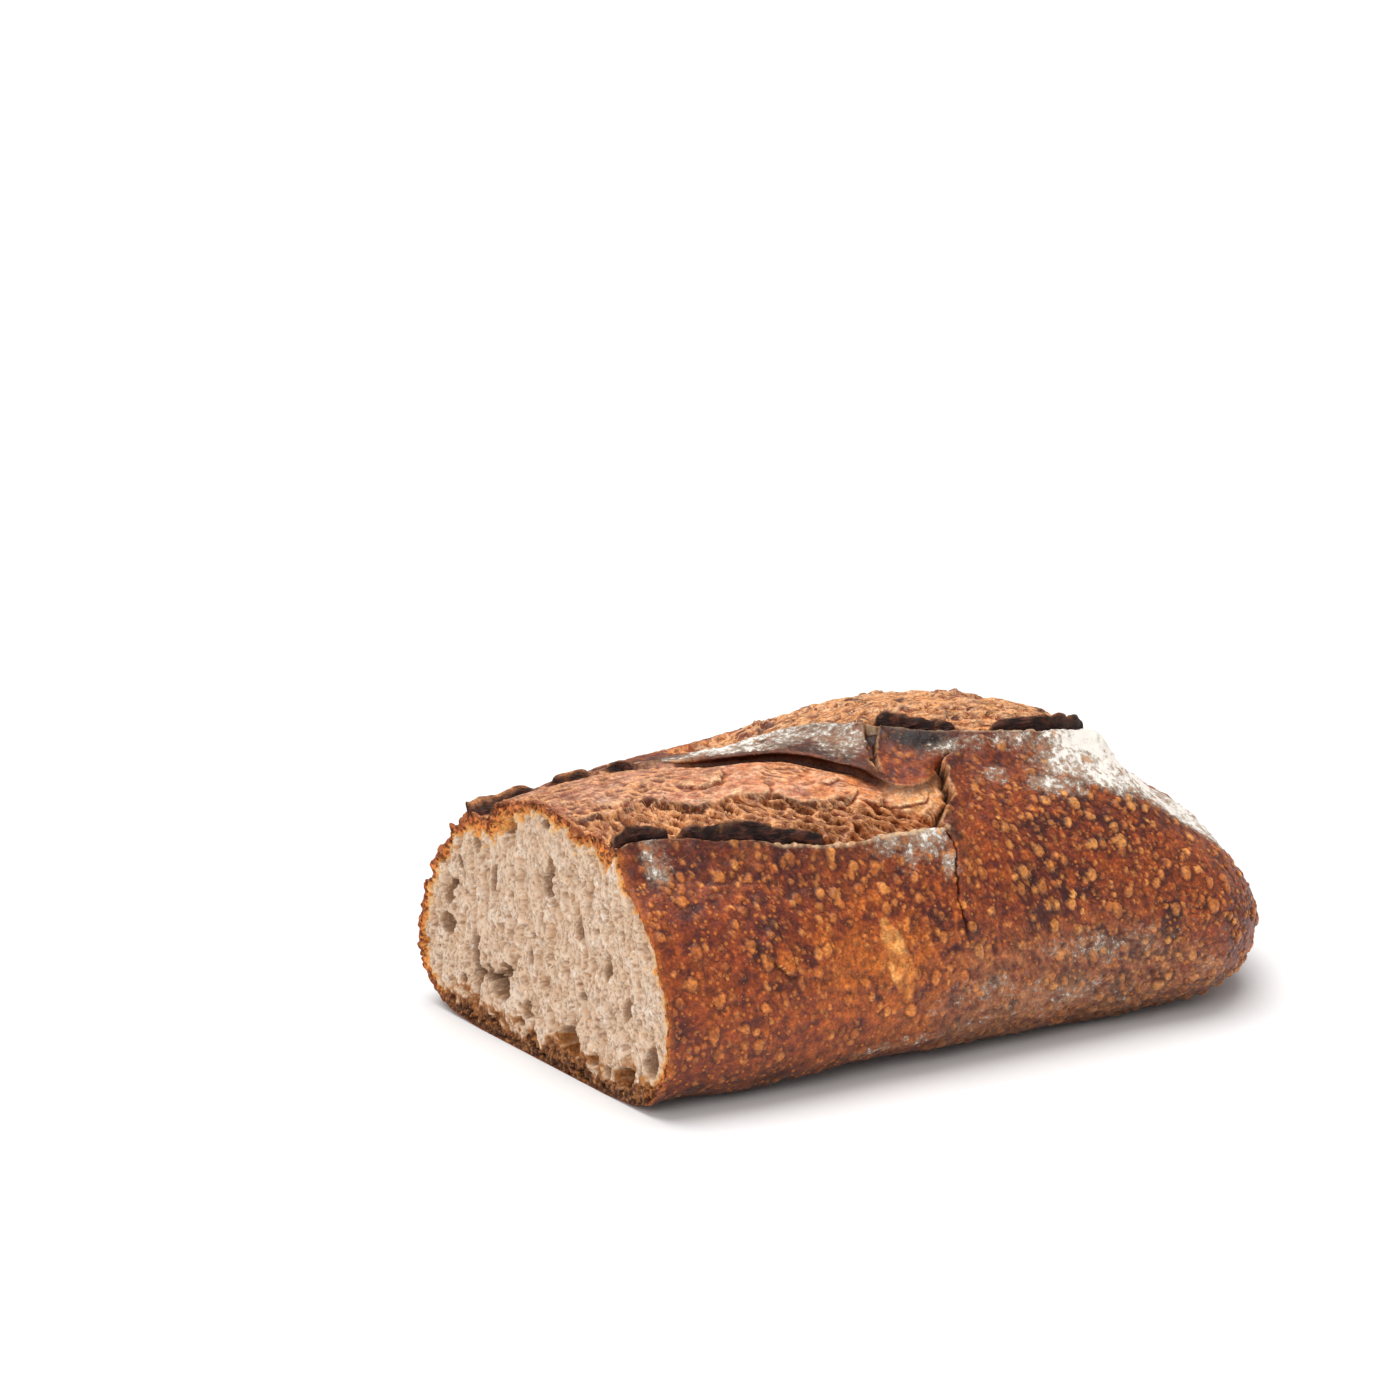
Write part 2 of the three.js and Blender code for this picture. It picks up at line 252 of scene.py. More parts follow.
# grid lines follow the lips: SEG holds how many samples lie between one lip and the next,
# from the far bottom round to the near bottom
SEG = [int(v / FINE) for v in (150, 140, 64, 176, 190)]
NS = sum(SEG)
rings = [ring_table(x) for x in x_st]
ends = np.array([[-r[2][0], r[2][-1]] for r in rings])
held = int(np.argmin(np.abs(x_st - 190)))
marks = []
for l, extra in zip(lips, (-30 * (1 - ss(0, 40, x_st)), 0, 8 * ss(96, 112, x_st), 25 * ss(110, 150, x_st))):
    m = l + extra
    end = ends[:, 1] if m[held] > 0 else ends[:, 0]
    marks.append(np.where(x_st > x_st[held], m[held] * end / end[held], m))
Y0, Z0, S0 = np.zeros((NX, NS)), np.zeros((NX, NS)), np.zeros((NX, NS))
lip_on = [ss(36, 46, x_st) * (1 - ss(188, 200, x_st)), ss(36, 46, x_st) * (1 - ss(188, 200, x_st)), 1 - ss(94, 104, x_st), 1 - ss(106, 116, x_st)]
for i, (y, z, S) in enumerate(rings):
    sm = S / ((S[-1] - S[0]) / 380.0)
    rho = 1 / (0.5 + 0.10 * ss(62, 72, sm) + 0.5 * ss(-90, -110, sm) + 1.3 * ss(126, 136, np.abs(sm)))
    for k in range(4):
        rho = rho + 4.4 * lip_on[k][i] * np.exp(-((S - lips[k][i] + (0.7 if k in (1, 3) else -0.7)) / 2.2) ** 4)
    c = np.concatenate([[0], np.cumsum(0.5 * (rho[1:] + rho[:-1]) * np.diff(S))])
    cm = np.interp([S[0]] + [m[i] for m in marks] + [S[-1]], S, c)
    cc = np.concatenate([cm[k] + (cm[k + 1] - cm[k]) * np.arange(n) / n for k, n in enumerate(SEG)])
    S0[i] = np.interp(cc, c, S)
    Y0[i], Z0[i] = np.interp(S0[i], S, y), np.interp(S0[i], S, z)
X0 = np.repeat(x_st[:, None], NS, axis=1)


def frame_of(P):
    """Outward normal, direction along the loaf and direction round it, from a closed grid of points."""
    du = np.gradient(P, axis=0)
    dv = np.roll(P, -1, axis=1) - np.roll(P, 1, axis=1)
    n = np.cross(du, dv)
    top = np.argmax(P[10, :, 2])
    if n[10, top, 2] < 0:
        n = -n
    unit = [v / np.maximum(np.linalg.norm(v, axis=2, keepdims=True), 1e-12) for v in (n, du, dv)]
    return unit


BASE = np.stack([X0, Y0, Z0], axis=2)
N0, TX, TS = frame_of(BASE)
TX = np.gradient(BASE, axis=0) - TS * np.gradient(S0, axis=0)[..., None]     # along the loaf at a fixed place round it
TX = TX / np.maximum(np.linalg.norm(TX, axis=2, keepdims=True), 1e-12)
XF, SF, ZF = X0.ravel(), S0.ravel(), Z0.ravel()
PF = BASE.reshape(-1, 3)
q = np.column_stack([XF, SF])
ROW = np.repeat(np.arange(NX), NS)
end_fade = closing(XF, 186, 2.3)             # 1 on the body, 0 at the tip
off_floor = ss(0.4, 3.0, ZF)                 # 0 on the flat underside


def along(v):
    return np.asarray(v)[ROW]


def blur(a, k):
    """Mean over the neighbours k samples each way on the grid, done twice."""
    g, k = a.reshape(NX, NS), max(1, int(k / FINE))
    for _ in range(2):
        c = np.cumsum(np.concatenate([g[:, -k - 1:], g, g[:, :k]], axis=1), axis=1)
        g = (c[:, 2 * k + 1:] - c[:, :-2 * k - 1]) / (2 * k + 1)
        c = np.cumsum(np.pad(g, ((k + 1, k), (0, 0)), mode="edge"), axis=0)
        g = (c[2 * k + 1:] - c[:-2 * k - 1]) / (2 * k + 1)
    return g.ravel()


# ----------------------------------------------------------------------------
# Lips
# ----------------------------------------------------------------------------
KNOT = np.array([-10, -6, -3, -2.3, -1.7, -1.2, -0.5, 0, 0.7, 2.5, 6, 12.0])


def profile(d, ctrl):
    """Smooth curve through control values at the knots; ctrl holds an array or a number for each knot."""
    k = np.clip(np.searchsorted(KNOT, d) - 1, 0, len(KNOT) - 2)
    C = np.array([np.broadcast_to(c, d.shape) for c in ctrl])
    u = np.clip((d - KNOT[k]) / (KNOT[k + 1] - KNOT[k]), 0, 1)
    i = np.arange(len(d))
    p1, p2 = C[k, i], C[k + 1, i]
    h = KNOT[k + 1] - KNOT[k]
    km, kp = np.maximum(k - 1, 0), np.minimum(k + 2, len(KNOT) - 1)
    m1 = 0.55 * (p2 - C[km, i]) / np.maximum(KNOT[k + 1] - KNOT[km], 1e-6) * h
    m2 = 0.55 * (C[kp, i] - p1) / np.maximum(KNOT[kp] - KNOT[k], 1e-6) * h
    out = (2 * u**3 - 3 * u**2 + 1) * p1 + (u**3 - 2 * u**2 + u) * m1 + (3 * u**2 - 2 * u**3) * p2 + (u**3 - u**2) * m2
    return np.where((d < KNOT[0]) | (d > KNOT[-1]), 0, out)


def ear_lip(d, R, E, V, lean):
    """A lip with a charred ear standing just behind its edge. d is positive on the skin. Gives the shift along d and the height."""
    e = ss(0.1, 1.3, E)
    b = [0 * R, -0.45 * V, -V, mix(-V * 0.9, 0.1 * R - 0.4 * V, e), mix(-0.5 * V, R + E, e), mix(0.35 * R, R + 0.84 * E, e), mix(0.8 * R - 0.3, R - 0.9, e),
         R - 0.5, R, 0.86 * R, 0.42 * R, 0 * R]
    pos = [-10, -6, -2.7, mix(-2.0, -2.0, e), mix(-1.3, -1.6 - lean * E, e), mix(-0.8, -0.75 - 0.8 * lean * E, e), mix(-0.35, -0.3, e), 0.15, 0.7, 2.5, 6, 12]
    return profile(d, [p - k for p, k in zip(pos, KNOT)]), profile(d, b)


def flap_lip(d, R, O, V):
    """A lip that hangs over its score by O."""
    b = [0 * R, -0.4 * V, -V * 0.95, -V, 0.3 * (R - 1.1) - 0.5 * V, R - 1.2, R - 1.0, R - 0.45, R, 0.86 * R, 0.42 * R, 0 * R]
    pos = [-10, -6, -2.6, -1.7, -0.9, -0.5 - 0.45 * O, -0.3 - 0.88 * O, -0.15 - 1.0 * O, 0.7 - 0.95 * O, 2.5 - 0.62 * O, 6 - 0.2 * O, 12]
    return profile(d, [p - k for p, k in zip(pos, KNOT)]), profile(d, b)


def act(a, b, wa=4.0, wb=4.0):
    return ss(a - wa, a + wa, x_st) * (1 - ss(b - wb, b + wb, x_st))


move_s, move_x, rise = np.zeros(len(XF)), np.zeros(len(XF)), np.zeros(len(XF))
lean_w = [np.sqrt(1 + along(sl) ** 2) for sl in slope]
d_b2, d_f2, d_b1, d_f1 = [(SF - along(l)) / w for l, w in zip(lips, lean_w)]


def put(k, sign, a, b, w):
    """Adds one lip; sign is +1 where the skin lies on the near side of the lip."""
    global move_s, move_x, rise
    move_s = move_s + sign * a * w / lean_w[k]
    move_x = move_x - sign * a * w * along(slope[k]) / lean_w[k]
    rise = rise + b * w


def uneven(size, amount, seed, fine=0.12):
    """1 on average along the loaf, with slow swings and a little fine raggedness."""
    return np.clip(1 + amount * wave(x_st, size, seed, 2) + fine * wave(x_st, 1.6, seed + 1, 2), 0.05, 3)


# front lip of the first score: two charred ears
on = along(act(-20, 106, 4, 2))
R = np.interp(x_st, [0, 3, 8, 20, 50, 80, 104], [5.0, 5.5, 5.8, 5.2, 4.2, 3.4, 2.8]) * uneven(5, 0.24, 9, 0.06)
E = act(-1.2, 18.6, 2.2, 2.2) * np.interp(x_st, [0, 4, 8, 13, 18], [1.0, 1.9, 2.5, 2.4, 1.4]) * uneven(4, 0.32, 10, 0.09)
E = E + act(20.8, 64.0, 2.0, 6.0) * np.interp(x_st, [20, 25, 30, 37, 44, 52, 57, 65], [1.2, 2.4, 3.2, 4.7, 4.0, 2.9, 2.6, 1.0]) * uneven(4, 0.34, 12, 0.09)
V = np.interp(x_st, [0, 12, 30, 80, 106], [0.0, 0.6, 1.8, 2.4, 1.6]) * uneven(8, 0.3, 14, 0)
a, b = ear_lip(d_f1, along(R), along(E), along(V), 0.50)
put(3, +1, a, b, on)
E_f1, on_f1 = along(E), on

# back lip of the first score: low charred ears near the cut, then a flap that hangs over
on = along(act(-20, 93, 4, 2.5))
R = np.interp(x_st, [0, 10, 20, 36, 48, 60, 80, 93], [0.2, 0.1, 0.0, 0.0, 0.6, 1.9, 2.6, 1.2]) * uneven(9, 0.10, 16, 0)
E = act(-20, 14.0, 4, 2.4) * np.interp(x_st, [0, 4, 9, 15], [4.4, 4.2, 3.4, 1.8]) * uneven(4, 0.26, 18, 0.08)
E = E + act(18.5, 26.5, 2.2, 2.0) * 1.7 * uneven(3.5, 0.3, 20, 0.08) + act(30, 35, 1.8, 1.8) * 1.9 * uneven(3, 0.3, 21, 0.08) + act(36, 42, 1, 2) * 0.7
O = np.interp(x_st, [0, 40, 55, 70, 84, 93], [0.6, 1.2, 3.4, 4.2, 3.0, 0.8]) * uneven(7, 0.2, 22, 0.05)
V = np.interp(x_st, [0, 40, 52, 62, 80, 93], [0.6, 1.6, 2.6, 3.6, 3.4, 1.8])
w = along(ss(40, 48, x_st))
a1, b1 = ear_lip(-d_b1, along(R), along(E), along(V), 0.2)
a2, b2 = flap_lip(-d_b1, along(R), along(O), along(V))
put(2, -1, mix(a1, a2, w), mix(b1, b2, w), on)
E_b1, on_b1 = along(E) * (1 - w), on

# front lip of the second score: black ears, broken in two
on = along(act(50, 184, 7, 5))
R = np.interp(x_st, [50, 70, 100, 130, 150, 165, 175, 184], [0.2, 1.4, 2.4, 3.0, 3.2, 4.0, 4.4, 2.0]) * uneven(9, 0.08, 24, 0.02)
E = act(103.6, 126, 1.6, 5.0) * np.interp(x_st, [102, 109, 116, 122, 128], [3.1, 3.0, 2.3, 1.6, 0.7]) * uneven(3.5, 0.34, 26, 0.10)
E = E + act(136.5, 171, 3.0, 4.5) * np.interp(x_st, [134, 142, 150, 160, 168, 172], [1.2, 2.3, 3.4, 4.1, 3.7, 2.0]) * uneven(4, 0.30, 28, 0.10)
V = np.interp(x_st, [50, 80, 120, 184], [0.8, 1.8, 2.4, 1.6]) * uneven(8, 0.3, 30, 0)
a, b = ear_lip(d_f2, along(R), along(E), along(V), 0.3)
put(1, +1, a, b, on)
E_f2, on_f2 = along(E), on

# back lip of the second score, on the far side
on = along(act(54, 186, 8, 6))
R = np.interp(x_st, [54, 80, 130, 186], [0.3, 0.7, 0.9, 0.6]) * uneven(9, 0.12, 32, 0.03)
E = act(142.5, 149, 1.2, 1.2) * 1.7 * uneven(4, 0.3, 34)
a, b = ear_lip(-d_b2, along(R), along(E), 1.6 + 0 * SF, 0.2)
put(0, -1, a, b, on)
E_b2, on_b2 = along(E), on

# which parts are torn dough and which are skin
dc = XF - np.interp(SF, *CRACK) - 0.8 * noise(np.column_stack([SF, 0 * SF]), 4.4, 31) - 0.55 * noise(np.column_stack([SF, 0 * SF]), 1.7, 37)
torn_1 = ss(-0.9, 0.4, d_b1 - 0.6) * ss(-0.4, 0.9, -d_f1 - 0.9) * (1 - ss(-0.4, 0.4, dc))
torn_2 = ss(-0.4, 0.9, d_b2 - 0.9) * ss(-0.4, 0.9, -d_f2 - 0.9) * along(act(55, 187, 6, 4))
torn = np.clip(torn_1 + torn_2, 0, 1)
skin = 1 - torn
u1 = np.clip((SF - along(lips[2])) / np.maximum(along(lips[3] - lips[2]), 1), 0, 1)
u2 = np.clip((SF - along(lips[0])) / np.maximum(along(lips[1] - lips[0]), 1), 0, 1)
rise = rise + torn_1 * np.interp(XF, [0, 10, 22, 40, 60, 85, 100, 118], [-2.6, -2.6, -2.0, -0.8, 0.6, 0.4, -0.8, -2.2]) * np.sin(np.pi * u1) ** 0.6
rise = rise + torn_1 * (5.6 * np.exp(-((SF - 35) / 6.0) ** 2) - 3.4 * np.exp(-((SF + 35) / 5.0) ** 2)) * (1 - ss(2, 13, XF))
rise = rise + torn_2 * np.interp(XF, [50, 66, 80, 92, 105, 130, 150, 170, 190], [-4.8, -4.4, -2.8, -0.8, 0.2, 0.0, -1.2, -1.6, 0.0]) * np.sin(np.pi * u2) ** 0.6
# the shoulder drops behind the last ear, and the far side swells low down near the cut
rise = rise - 2.7 * skin * ss(182, 188, XF) * (1 - ss(203, 216, XF)) * np.exp(-((SF - 8) / 46) ** 4)
rise = rise + 2.4 * np.exp(-((ZF - 18) / 12) ** 2) * (SF < 0) * np.exp(-(XF / 30) ** 2)

rise = rise - 1.8 * np.exp(-((XF - 66) / 17) ** 2 - ((SF + 6) / 18) ** 4)
rise = rise - 1.9 * skin * np.exp(-((XF - 229) / 13) ** 2 - ((SF - 6) / 44) ** 4)
# the crack: skin lifted on its right, a dark opening on its left
up_part = ss(34, 39, SF) * (1 - ss(58, 64, SF))
low_part = ss(58, 64, SF) * (1 - ss(90, 100, SF))
rag = np.clip(1 + 0.35 * noise(np.column_stack([SF, 0 * SF]), 4, 33), 0.3, 2)
rise = rise + up_part * rag * np.interp(dc, [-8, -3.8, -2.2, -0.9, -0.3, 0.0, 0.45, 2.0, 7], [0, -0.9, -2.2, -3.3, -3.3, 1.5, 1.7, 1.0, 0])
rise = rise + low_part * rag * np.interp(dc, [-2.5, -1.0, -0.5, -0.1, 0.25, 0.7, 2.4, 5], [0, -0.2, -1.1, -0.6, 0.7, 0.8, 0.4, 0])
move_x = move_x - rag * np.interp(dc, [-0.35, 0.1, 0.6, 3.0], [0, 0.9, 0.7, 0]) * (up_part * 1.5 + low_part * 0.7)

# the notch that ends the bridge of skin between the scores
notch_rag = 0.8 * noise(np.column_stack([SF, 0 * SF]), 4, 35) + 0.7 * noise(np.column_stack([SF, 0 * SF]), 1.6, 36)
dl, dr = XF - np.interp(SF, *NOTCH_L) - notch_rag, XF - np.interp(SF, *NOTCH_R) + 0.6 * notch_rag
nt_w = ss(along(lips[1]) - 0.5, along(lips[1]) + 1.5, SF) * (1 - ss(33.5, 37, SF))
left_h = 1.3 * np.exp(np.clip(dl, -40, 0) / 5)
right_h = 0.9 * np.exp(-np.clip(dr, 0, 40) / 2.2)
in_notch = ss(-0.3, 0.45, dl) * (1 - ss(-0.45, 0.3, dr))
rise = rise + nt_w * np.where(dr > -0.1, right_h, left_h) * (1 - in_notch) * ((dl < 0.45) | (dr > -0.45)) * (dl > -20) * (dr < 12)
rise = rise - nt_w * in_notch * (2.8 + 1.0 * noise(q, 2.2, 38))

# soft unevenness of the whole loaf, and where the side tucks under
rise = rise + (1 - 0.3 * torn) * (0.75 * fbm(PF, 34, 2, 40) + 0.26 * fbm(PF, 11, 2, 41)) * ss(0, 0.25, end_fade)
tuck = ss(108, 126, np.abs(SF)) * off_floor
rise = rise + tuck * (1.1 * fbm(PF, 17, 2, 42) + 0.4 * fbm(PF, 6, 2, 43))
# crumbling edge of the crust at the cut
edge_w = np.exp(-(XF / 1.9) ** 2) * (0.32 + 0.68 * ss(-26, -44, SF)) * off_floor * (1 - 0.6 * ss(100, 120, np.abs(SF)))
f1, f2, rid = cells(np.column_stack([XF / 3.2, SF / 3.3]) + 0.25 * noise(q, 2.0, 46)[:, None], 1.0, 47)
rag_edge = edge_w * np.clip(3.6 * (rid - 0.42) * ss(0.0, 0.25, f2 - f1) + 1.5 * noise(PF, 5.0, 44) + 0.6 * noise(PF, 1.8, 45), -1.3, 3.0)
rise = rise + rag_edge

# ----------------------------------------------------------------------------
# Torn dough: pockets, stretched strands, wrinkles and peeling flakes
# ----------------------------------------------------------------------------
n_pt = len(XF)
tex, pocket, strand, flake_edge, flake_shadow = (np.zeros(n_pt) for _ in range(5))
crest_d = SF - np.interp(XF, *CREST) - 2.4 * noise(q, 9, 51) - 1.1 * noise(q, 3.1, 52)
open_1 = torn_1 * ss(-0.3, 0.9, crest_d)
near_cut = (1 - ss(2, 12, XF)) * ss(24, 30, SF)
tex -= open_1 * (0.7 + 0.6 * noise(q, 13, 53)) * (1 - 0.5 * ss(92, 100, XF)) * (1 - 0.8 * near_cut)
tex += torn_1 * 0.30 * np.exp(-((crest_d + 0.7) / 0.9) ** 2) * (0.5 + 0.9 * noise(q, 5, 54))


def web(w, lean, wide, long, seed, warp, deep, sharp=0.15, wall=0.16):
    """Stretched pockets with thin walls between them."""
    idx = np.nonzero(w > 0.01)[0]
    p = q[idx] + warp * np.column_stack([noise(q[idx], 5.5, seed + 1), noise(q[idx], 5.5, seed + 2)])
    lean = np.broadcast_to(lean, (n_pt,))[idx]
    f1, f2, rid = cells(np.column_stack([(p[:, 0] - lean * (p[:, 1] - 45)) / wide, p[:, 1] / long]), 1.0, seed)
    gap = f2 - f1
    hollow = ss(0.05, 0.50, gap) * (0.35 + 0.80 * rid)
    line_ = np.exp(-(gap / sharp) ** 2)
    tex[idx] += w[idx] * (wall * line_ - hollow) * deep
    pocket[idx] = np.maximum(pocket[idx], w[idx] * ss(0.12, 0.34, gap) * (0.60 + 0.40 * rid) * min(1.0, 0.45 + deep / 3.0))
    strand[idx] = np.maximum(strand[idx], w[idx] * line_ * (0.35 + 0.65 * ss(-0.5, 0.3, noise(q[idx], 3.0, seed + 3))) * min(1.0, 0.45 + 0.3 * deep))


lean_1 = np.interp(XF, [0, 25, 45, 70, 100], [0.1, 0.25, 0.7, 0.85, 1.05])
web(open_1 * (1 - 0.55 * ss(88, 96, XF)) * (1 - 0.4 * near_cut), lean_1, 4.2, 7.5, 100, 1.8, 2.5, 0.20, 0.10)
web(open_1, lean_1, 2.4, 4.0, 130, 1.0, 0.72, 0.26, 0.10)
smooth_1 = torn_1 * (1 - ss(-0.3, 0.9, crest_d))
tex += smooth_1 * ss(84, 96, XF) * 0.30 * fbm(np.column_stack([XF / 7.0, SF / 1.6 + 0.06 * XF]), 1.0, 3, 199)
wr = 1 - np.abs(fbm(np.column_stack([XF * 0.42, SF]) + 1.5 * noise(q, 12, 61)[:, None], 4.2, 3, 60)) * 2.4
tex += smooth_1 * (0.55 * fbm(q, 10.0, 2, 64) + 0.10 * fbm(np.column_stack([XF / 4.4, SF / 1.6]), 1.0, 2, 164))
web(smooth_1 * ss(-0.35, 0.25, noise(q, 11, 65)) * ss(62, 28, XF), 0.3, 3.6, 3.6, 170, 1.8, 0.75, 0.22)
web(smooth_1 * ss(0.10, 0.40, noise(q, 9, 165)) * ss(30, 60, XF), 0.9, 3.0, 5.5, 175, 1.8, 0.45, 0.22)
tex += smooth_1 * 0.34 * np.clip(wr, -0.8, 1.0)


def peel(w, size_x, size_s, seed, steps, lift):
    """Layers of dough peeling along the contours of a slow noise: small cliffs with thin edges, and painted shadow at
    the foot of each cliff.
    """
    idx = np.nonzero(w > 0.01)[0]
    h = fbm(np.column_stack([q[idx, 0] / size_x, q[idx, 1] / size_s]), 1.0, 3, seed) * steps + 50
    fr = h - np.floor(h)
    tex[idx] += w[idx] * lift * (ss(0.0, 0.10, fr) - fr)
    flake_edge[idx] = np.maximum(flake_edge[idx], w[idx] * ss(0.02, 0.08, fr) * (1 - ss(0.12, 0.24, fr)))
    flake_shadow[idx] = np.maximum(flake_shadow[idx], w[idx] * ss(0.86, 1.0, fr))




def flake(x0, s0, wide, tall, lift, lean=0.0, seed=0, on_=torn):
    """One curled flake: it rises towards a free edge on its near side, with painted shadow under that edge."""
    u = ((XF - x0) - lean * (SF - s0)) / wide
    v = (SF - s0) / tall
    idx = np.nonzero((np.abs(u) < 1.5) & (np.abs(v) < 2.2) & (on_ > 0.5))[0]
    if not len(idx):
        return
    uu, vv = u[idx], v[idx]
    edge = 1 - np.abs(uu) ** 2.4 + 0.55 * noise(q[idx], 4.6, 700 + seed) + 0.16 * noise(q[idx], 1.6, 701 + seed)
    gone = (edge - vv) * tall
    up = ss(-0.1, 0.4, gone) * ss(-2.0, 0.6, vv) * ss(0.0, 0.5, edge + 0.2)
    tex[idx] += 0.75 * lift * up
    tex[idx] -= 0.45 * lift * ss(-1.6, -0.3, gone) * (1 - ss(-0.3, 0.2, gone)) * ss(0, 0.4, edge)
    flake_edge[idx] = np.maximum(flake_edge[idx], ss(0.28, 0.42, gone) * (1 - ss(0.55, 1.0, gone)) * ss(0.0, 0.4, edge))
    flake_shadow[idx] = np.maximum(flake_shadow[idx], ss(-1.6, -0.4, gone) * (1 - ss(0.16, 0.34, gone)) * ss(0.1, 0.5, edge))


for k, (x0, s0, wide, tall, lift, lean) in enumerate([
        (43.5, 16, 7.0, 4.5, 1.7, 0.3), (17, 13, 6, 3.0, 1.1, 0), (77, 33, 3.4, 2.4, 0.7, 0.3),
        (86, 44, 4.0, 3.4, 1.4, 0.6), (75, 40.5, 7.5, 3.2, 1.4, 0.2), (27, 18, 5, 2.6, 1.0, -0.2), (54, 29, 5, 3, 0.9, 0.4),
        (97, 48.5, 7, 3.0, 0.7, 0.3)]):
    flake(x0, s0, wide, tall, lift, lean, k, torn_1)
for k in range(64):
    r = [float(rnd(900 + j, np.array([k]), np.array([3]))[0]) for j in range(5)]
    flake(62 + 118 * r[0], -30 + 54 * r[1] * np.interp(62 + 118 * r[0], [60, 110, 180], [0.6, 1.0, 0.8]), 3.5 + 5.5 * r[2], 1.6 + 2.6 * r[3], 0.6 + 0.8 * r[4], 1.4 * (r[2] - 0.5), 40 + k, torn_2)

idx = np.nonzero(torn_2 > 0.01)[0]
for k, (long, wide, amp) in enumerate(((11.0, 2.8, 0.55), (6.0, 1.7, 0.32), (3.6, 1.1, 0.10))):
    p = q[idx] + 0.25 * long * np.column_stack([noise(q[idx], 6, 182 + k), noise(q[idx], 6, 186 + k)])
    band = np.abs(noise(np.column_stack([p[:, 0] / long, (p[:, 1] + (0.25 - 0.2 * k) * p[:, 0]) / wide]), 1.0, 180 + 5 * k))
    tex[idx] += amp * torn_2[idx] * (0.35 - ss(0.0, 0.5, band))
    pocket[idx] = np.maximum(pocket[idx], torn_2[idx] * ss(0.22, 0.6, band) * (0.95 - 0.2 * k))
    strand[idx] = np.maximum(strand[idx], torn_2[idx] * (1 - ss(0.03, 0.17, band)) * (0.9 - 0.15 * k))
peel(torn_2, 18, 6, 67, 2.4, 0.50)
# folds on the ears, along the direction they stand out in
ear_all, fold = np.zeros(n_pt), np.zeros(n_pt)
tex *= mix(1.0, ss(0.8, 5.0, d_b1), along(ss(44, 52, x_st)) * torn_1)
for k, (d, E_, on_) in enumerate(((d_f1, E_f1, on_f1), (-d_b1, E_b1, on_b1), (d_f2, E_f2, on_f2), (-d_b2, E_b2, on_b2))):
    here = ss(0.3, 1.2, E_) * on_ * ss(-3.2, -2.4, d) * (1 - ss(-0.45, -0.15, d))
    up_ear = np.clip((-0.4 - d) / 1.3, 0, 1) * E_
    fold += here * (0.60 * noise(np.column_stack([XF / 8.0, up_ear / 1.1 + 0.10 * XF]), 1.0, 68 + k) + 0.28 * noise(np.column_stack([XF / 3.5, up_ear / 0.7 - 0.15 * XF]), 1.0, 58 + k))
    ear_all = np.maximum(ear_all, here)
tex *= 1 - ear_all
rise -= ear_all * rag_edge

# ----------------------------------------------------------------------------
# Skin: blisters, creases and fine wrinkles
# ----------------------------------------------------------------------------
side = np.maximum(ss(46, 58, SF), ss(44, 60, -SF)) * (1 - ss(128, 150, np.abs(SF)))
right_end = ss(112, 150, XF)
patch = ss(-0.6, 0.3, fbm(PF, 24, 2, 70))
blist_w = skin * np.clip(0.55 + 0.9 * side, 0, 1) * off_floor * ss(0, 0.2, end_fade) * (1 - ear_all)
PW = PF * np.array([1.12, 1.0, 0.86]) + 0.6 * np.column_stack([noise(PF, 3.4, 73), noise(PF, 3.4, 74), noise(PF, 3.4, 75)]) + 0.22 * np.column_stack([noise(PF, 1.3, 173), noise(PF, 1.3, 174), noise(PF, 1.3, 175)])
bt, br, brid = domes(PW, 4.2, 0.9, 2.3, 0.95, 200, 1.7)
st_, sr, srid = domes(PW + 31.0, 2.7, 0.55, 1.25, 0.85, 230, 1.2)
tt_, tr_, trid = domes(PW * 1.0 + 57.0, 1.7, 0.3, 0.65, 0.6, 260, 1.2)
keep_b = brid < 0.46 + 0.45 * patch + 0.35 * right_end
crowd = ss(-0.35, 0.4, noise(PF, 13, 76) + 0.3 * right_end)
keep_s, keep_t = srid < 0.45 + 0.55 * crowd, trid < 0.35 + 0.5 * crowd
dome_b, dome_s, dome_t = [np.sqrt(np.clip(v, 0, 1)) * k_ for v, k_ in ((bt, keep_b), (st_, keep_s), (tt_, keep_t))]
blister = np.maximum.reduce([ss(0.0, 0.55, bt) * keep_b * (0.5 + 0.5 * brid), 0.85 * ss(0.0, 0.6, st_) * keep_s * (0.4 + 0.6 * srid), 0.7 * ss(0.0, 0.6, tt_) * keep_t * (0.3 + 0.7 * trid)]) * blist_w
blister = np.clip(blister, 0, 1)
ring = (ss(-0.9, -0.1, bt) * (1 - ss(-0.06, 0.2, bt)) * keep_b) * blist_w
fine = blist_w * (np.maximum.reduce([dome_b * (0.24 + 0.30 * br) * (0.8 + 0.5 * right_end), dome_s * (0.10 + 0.26 * sr), dome_t * 0.16]) - 0.10 * ring)
f1, f2, _ = cells(PF + 1.8 * noise(PF, 7, 77)[:, None], 5.2, 280)
crease = np.exp(-((f2 - f1) / 0.10) ** 2) * skin * off_floor * (0.25 + 0.75 * right_end) * ss(-0.3, 0.3, noise(PF, 19, 78))
fine -= 0.26 * crease
fine += skin * (1 - ear_all) * off_floor * (0.17 * fbm(PF, 2.2, 3, 71) + 0.26 * fbm(np.column_stack([XF / 7, SF / 2.4]), 1.0, 3, 79) + 0.25 * fbm(PF, 5.5, 2, 179))
fine += torn * (1 - ear_all) * 0.10 * fbm(PF, 1.2, 2, 72) + 0.8 * fold
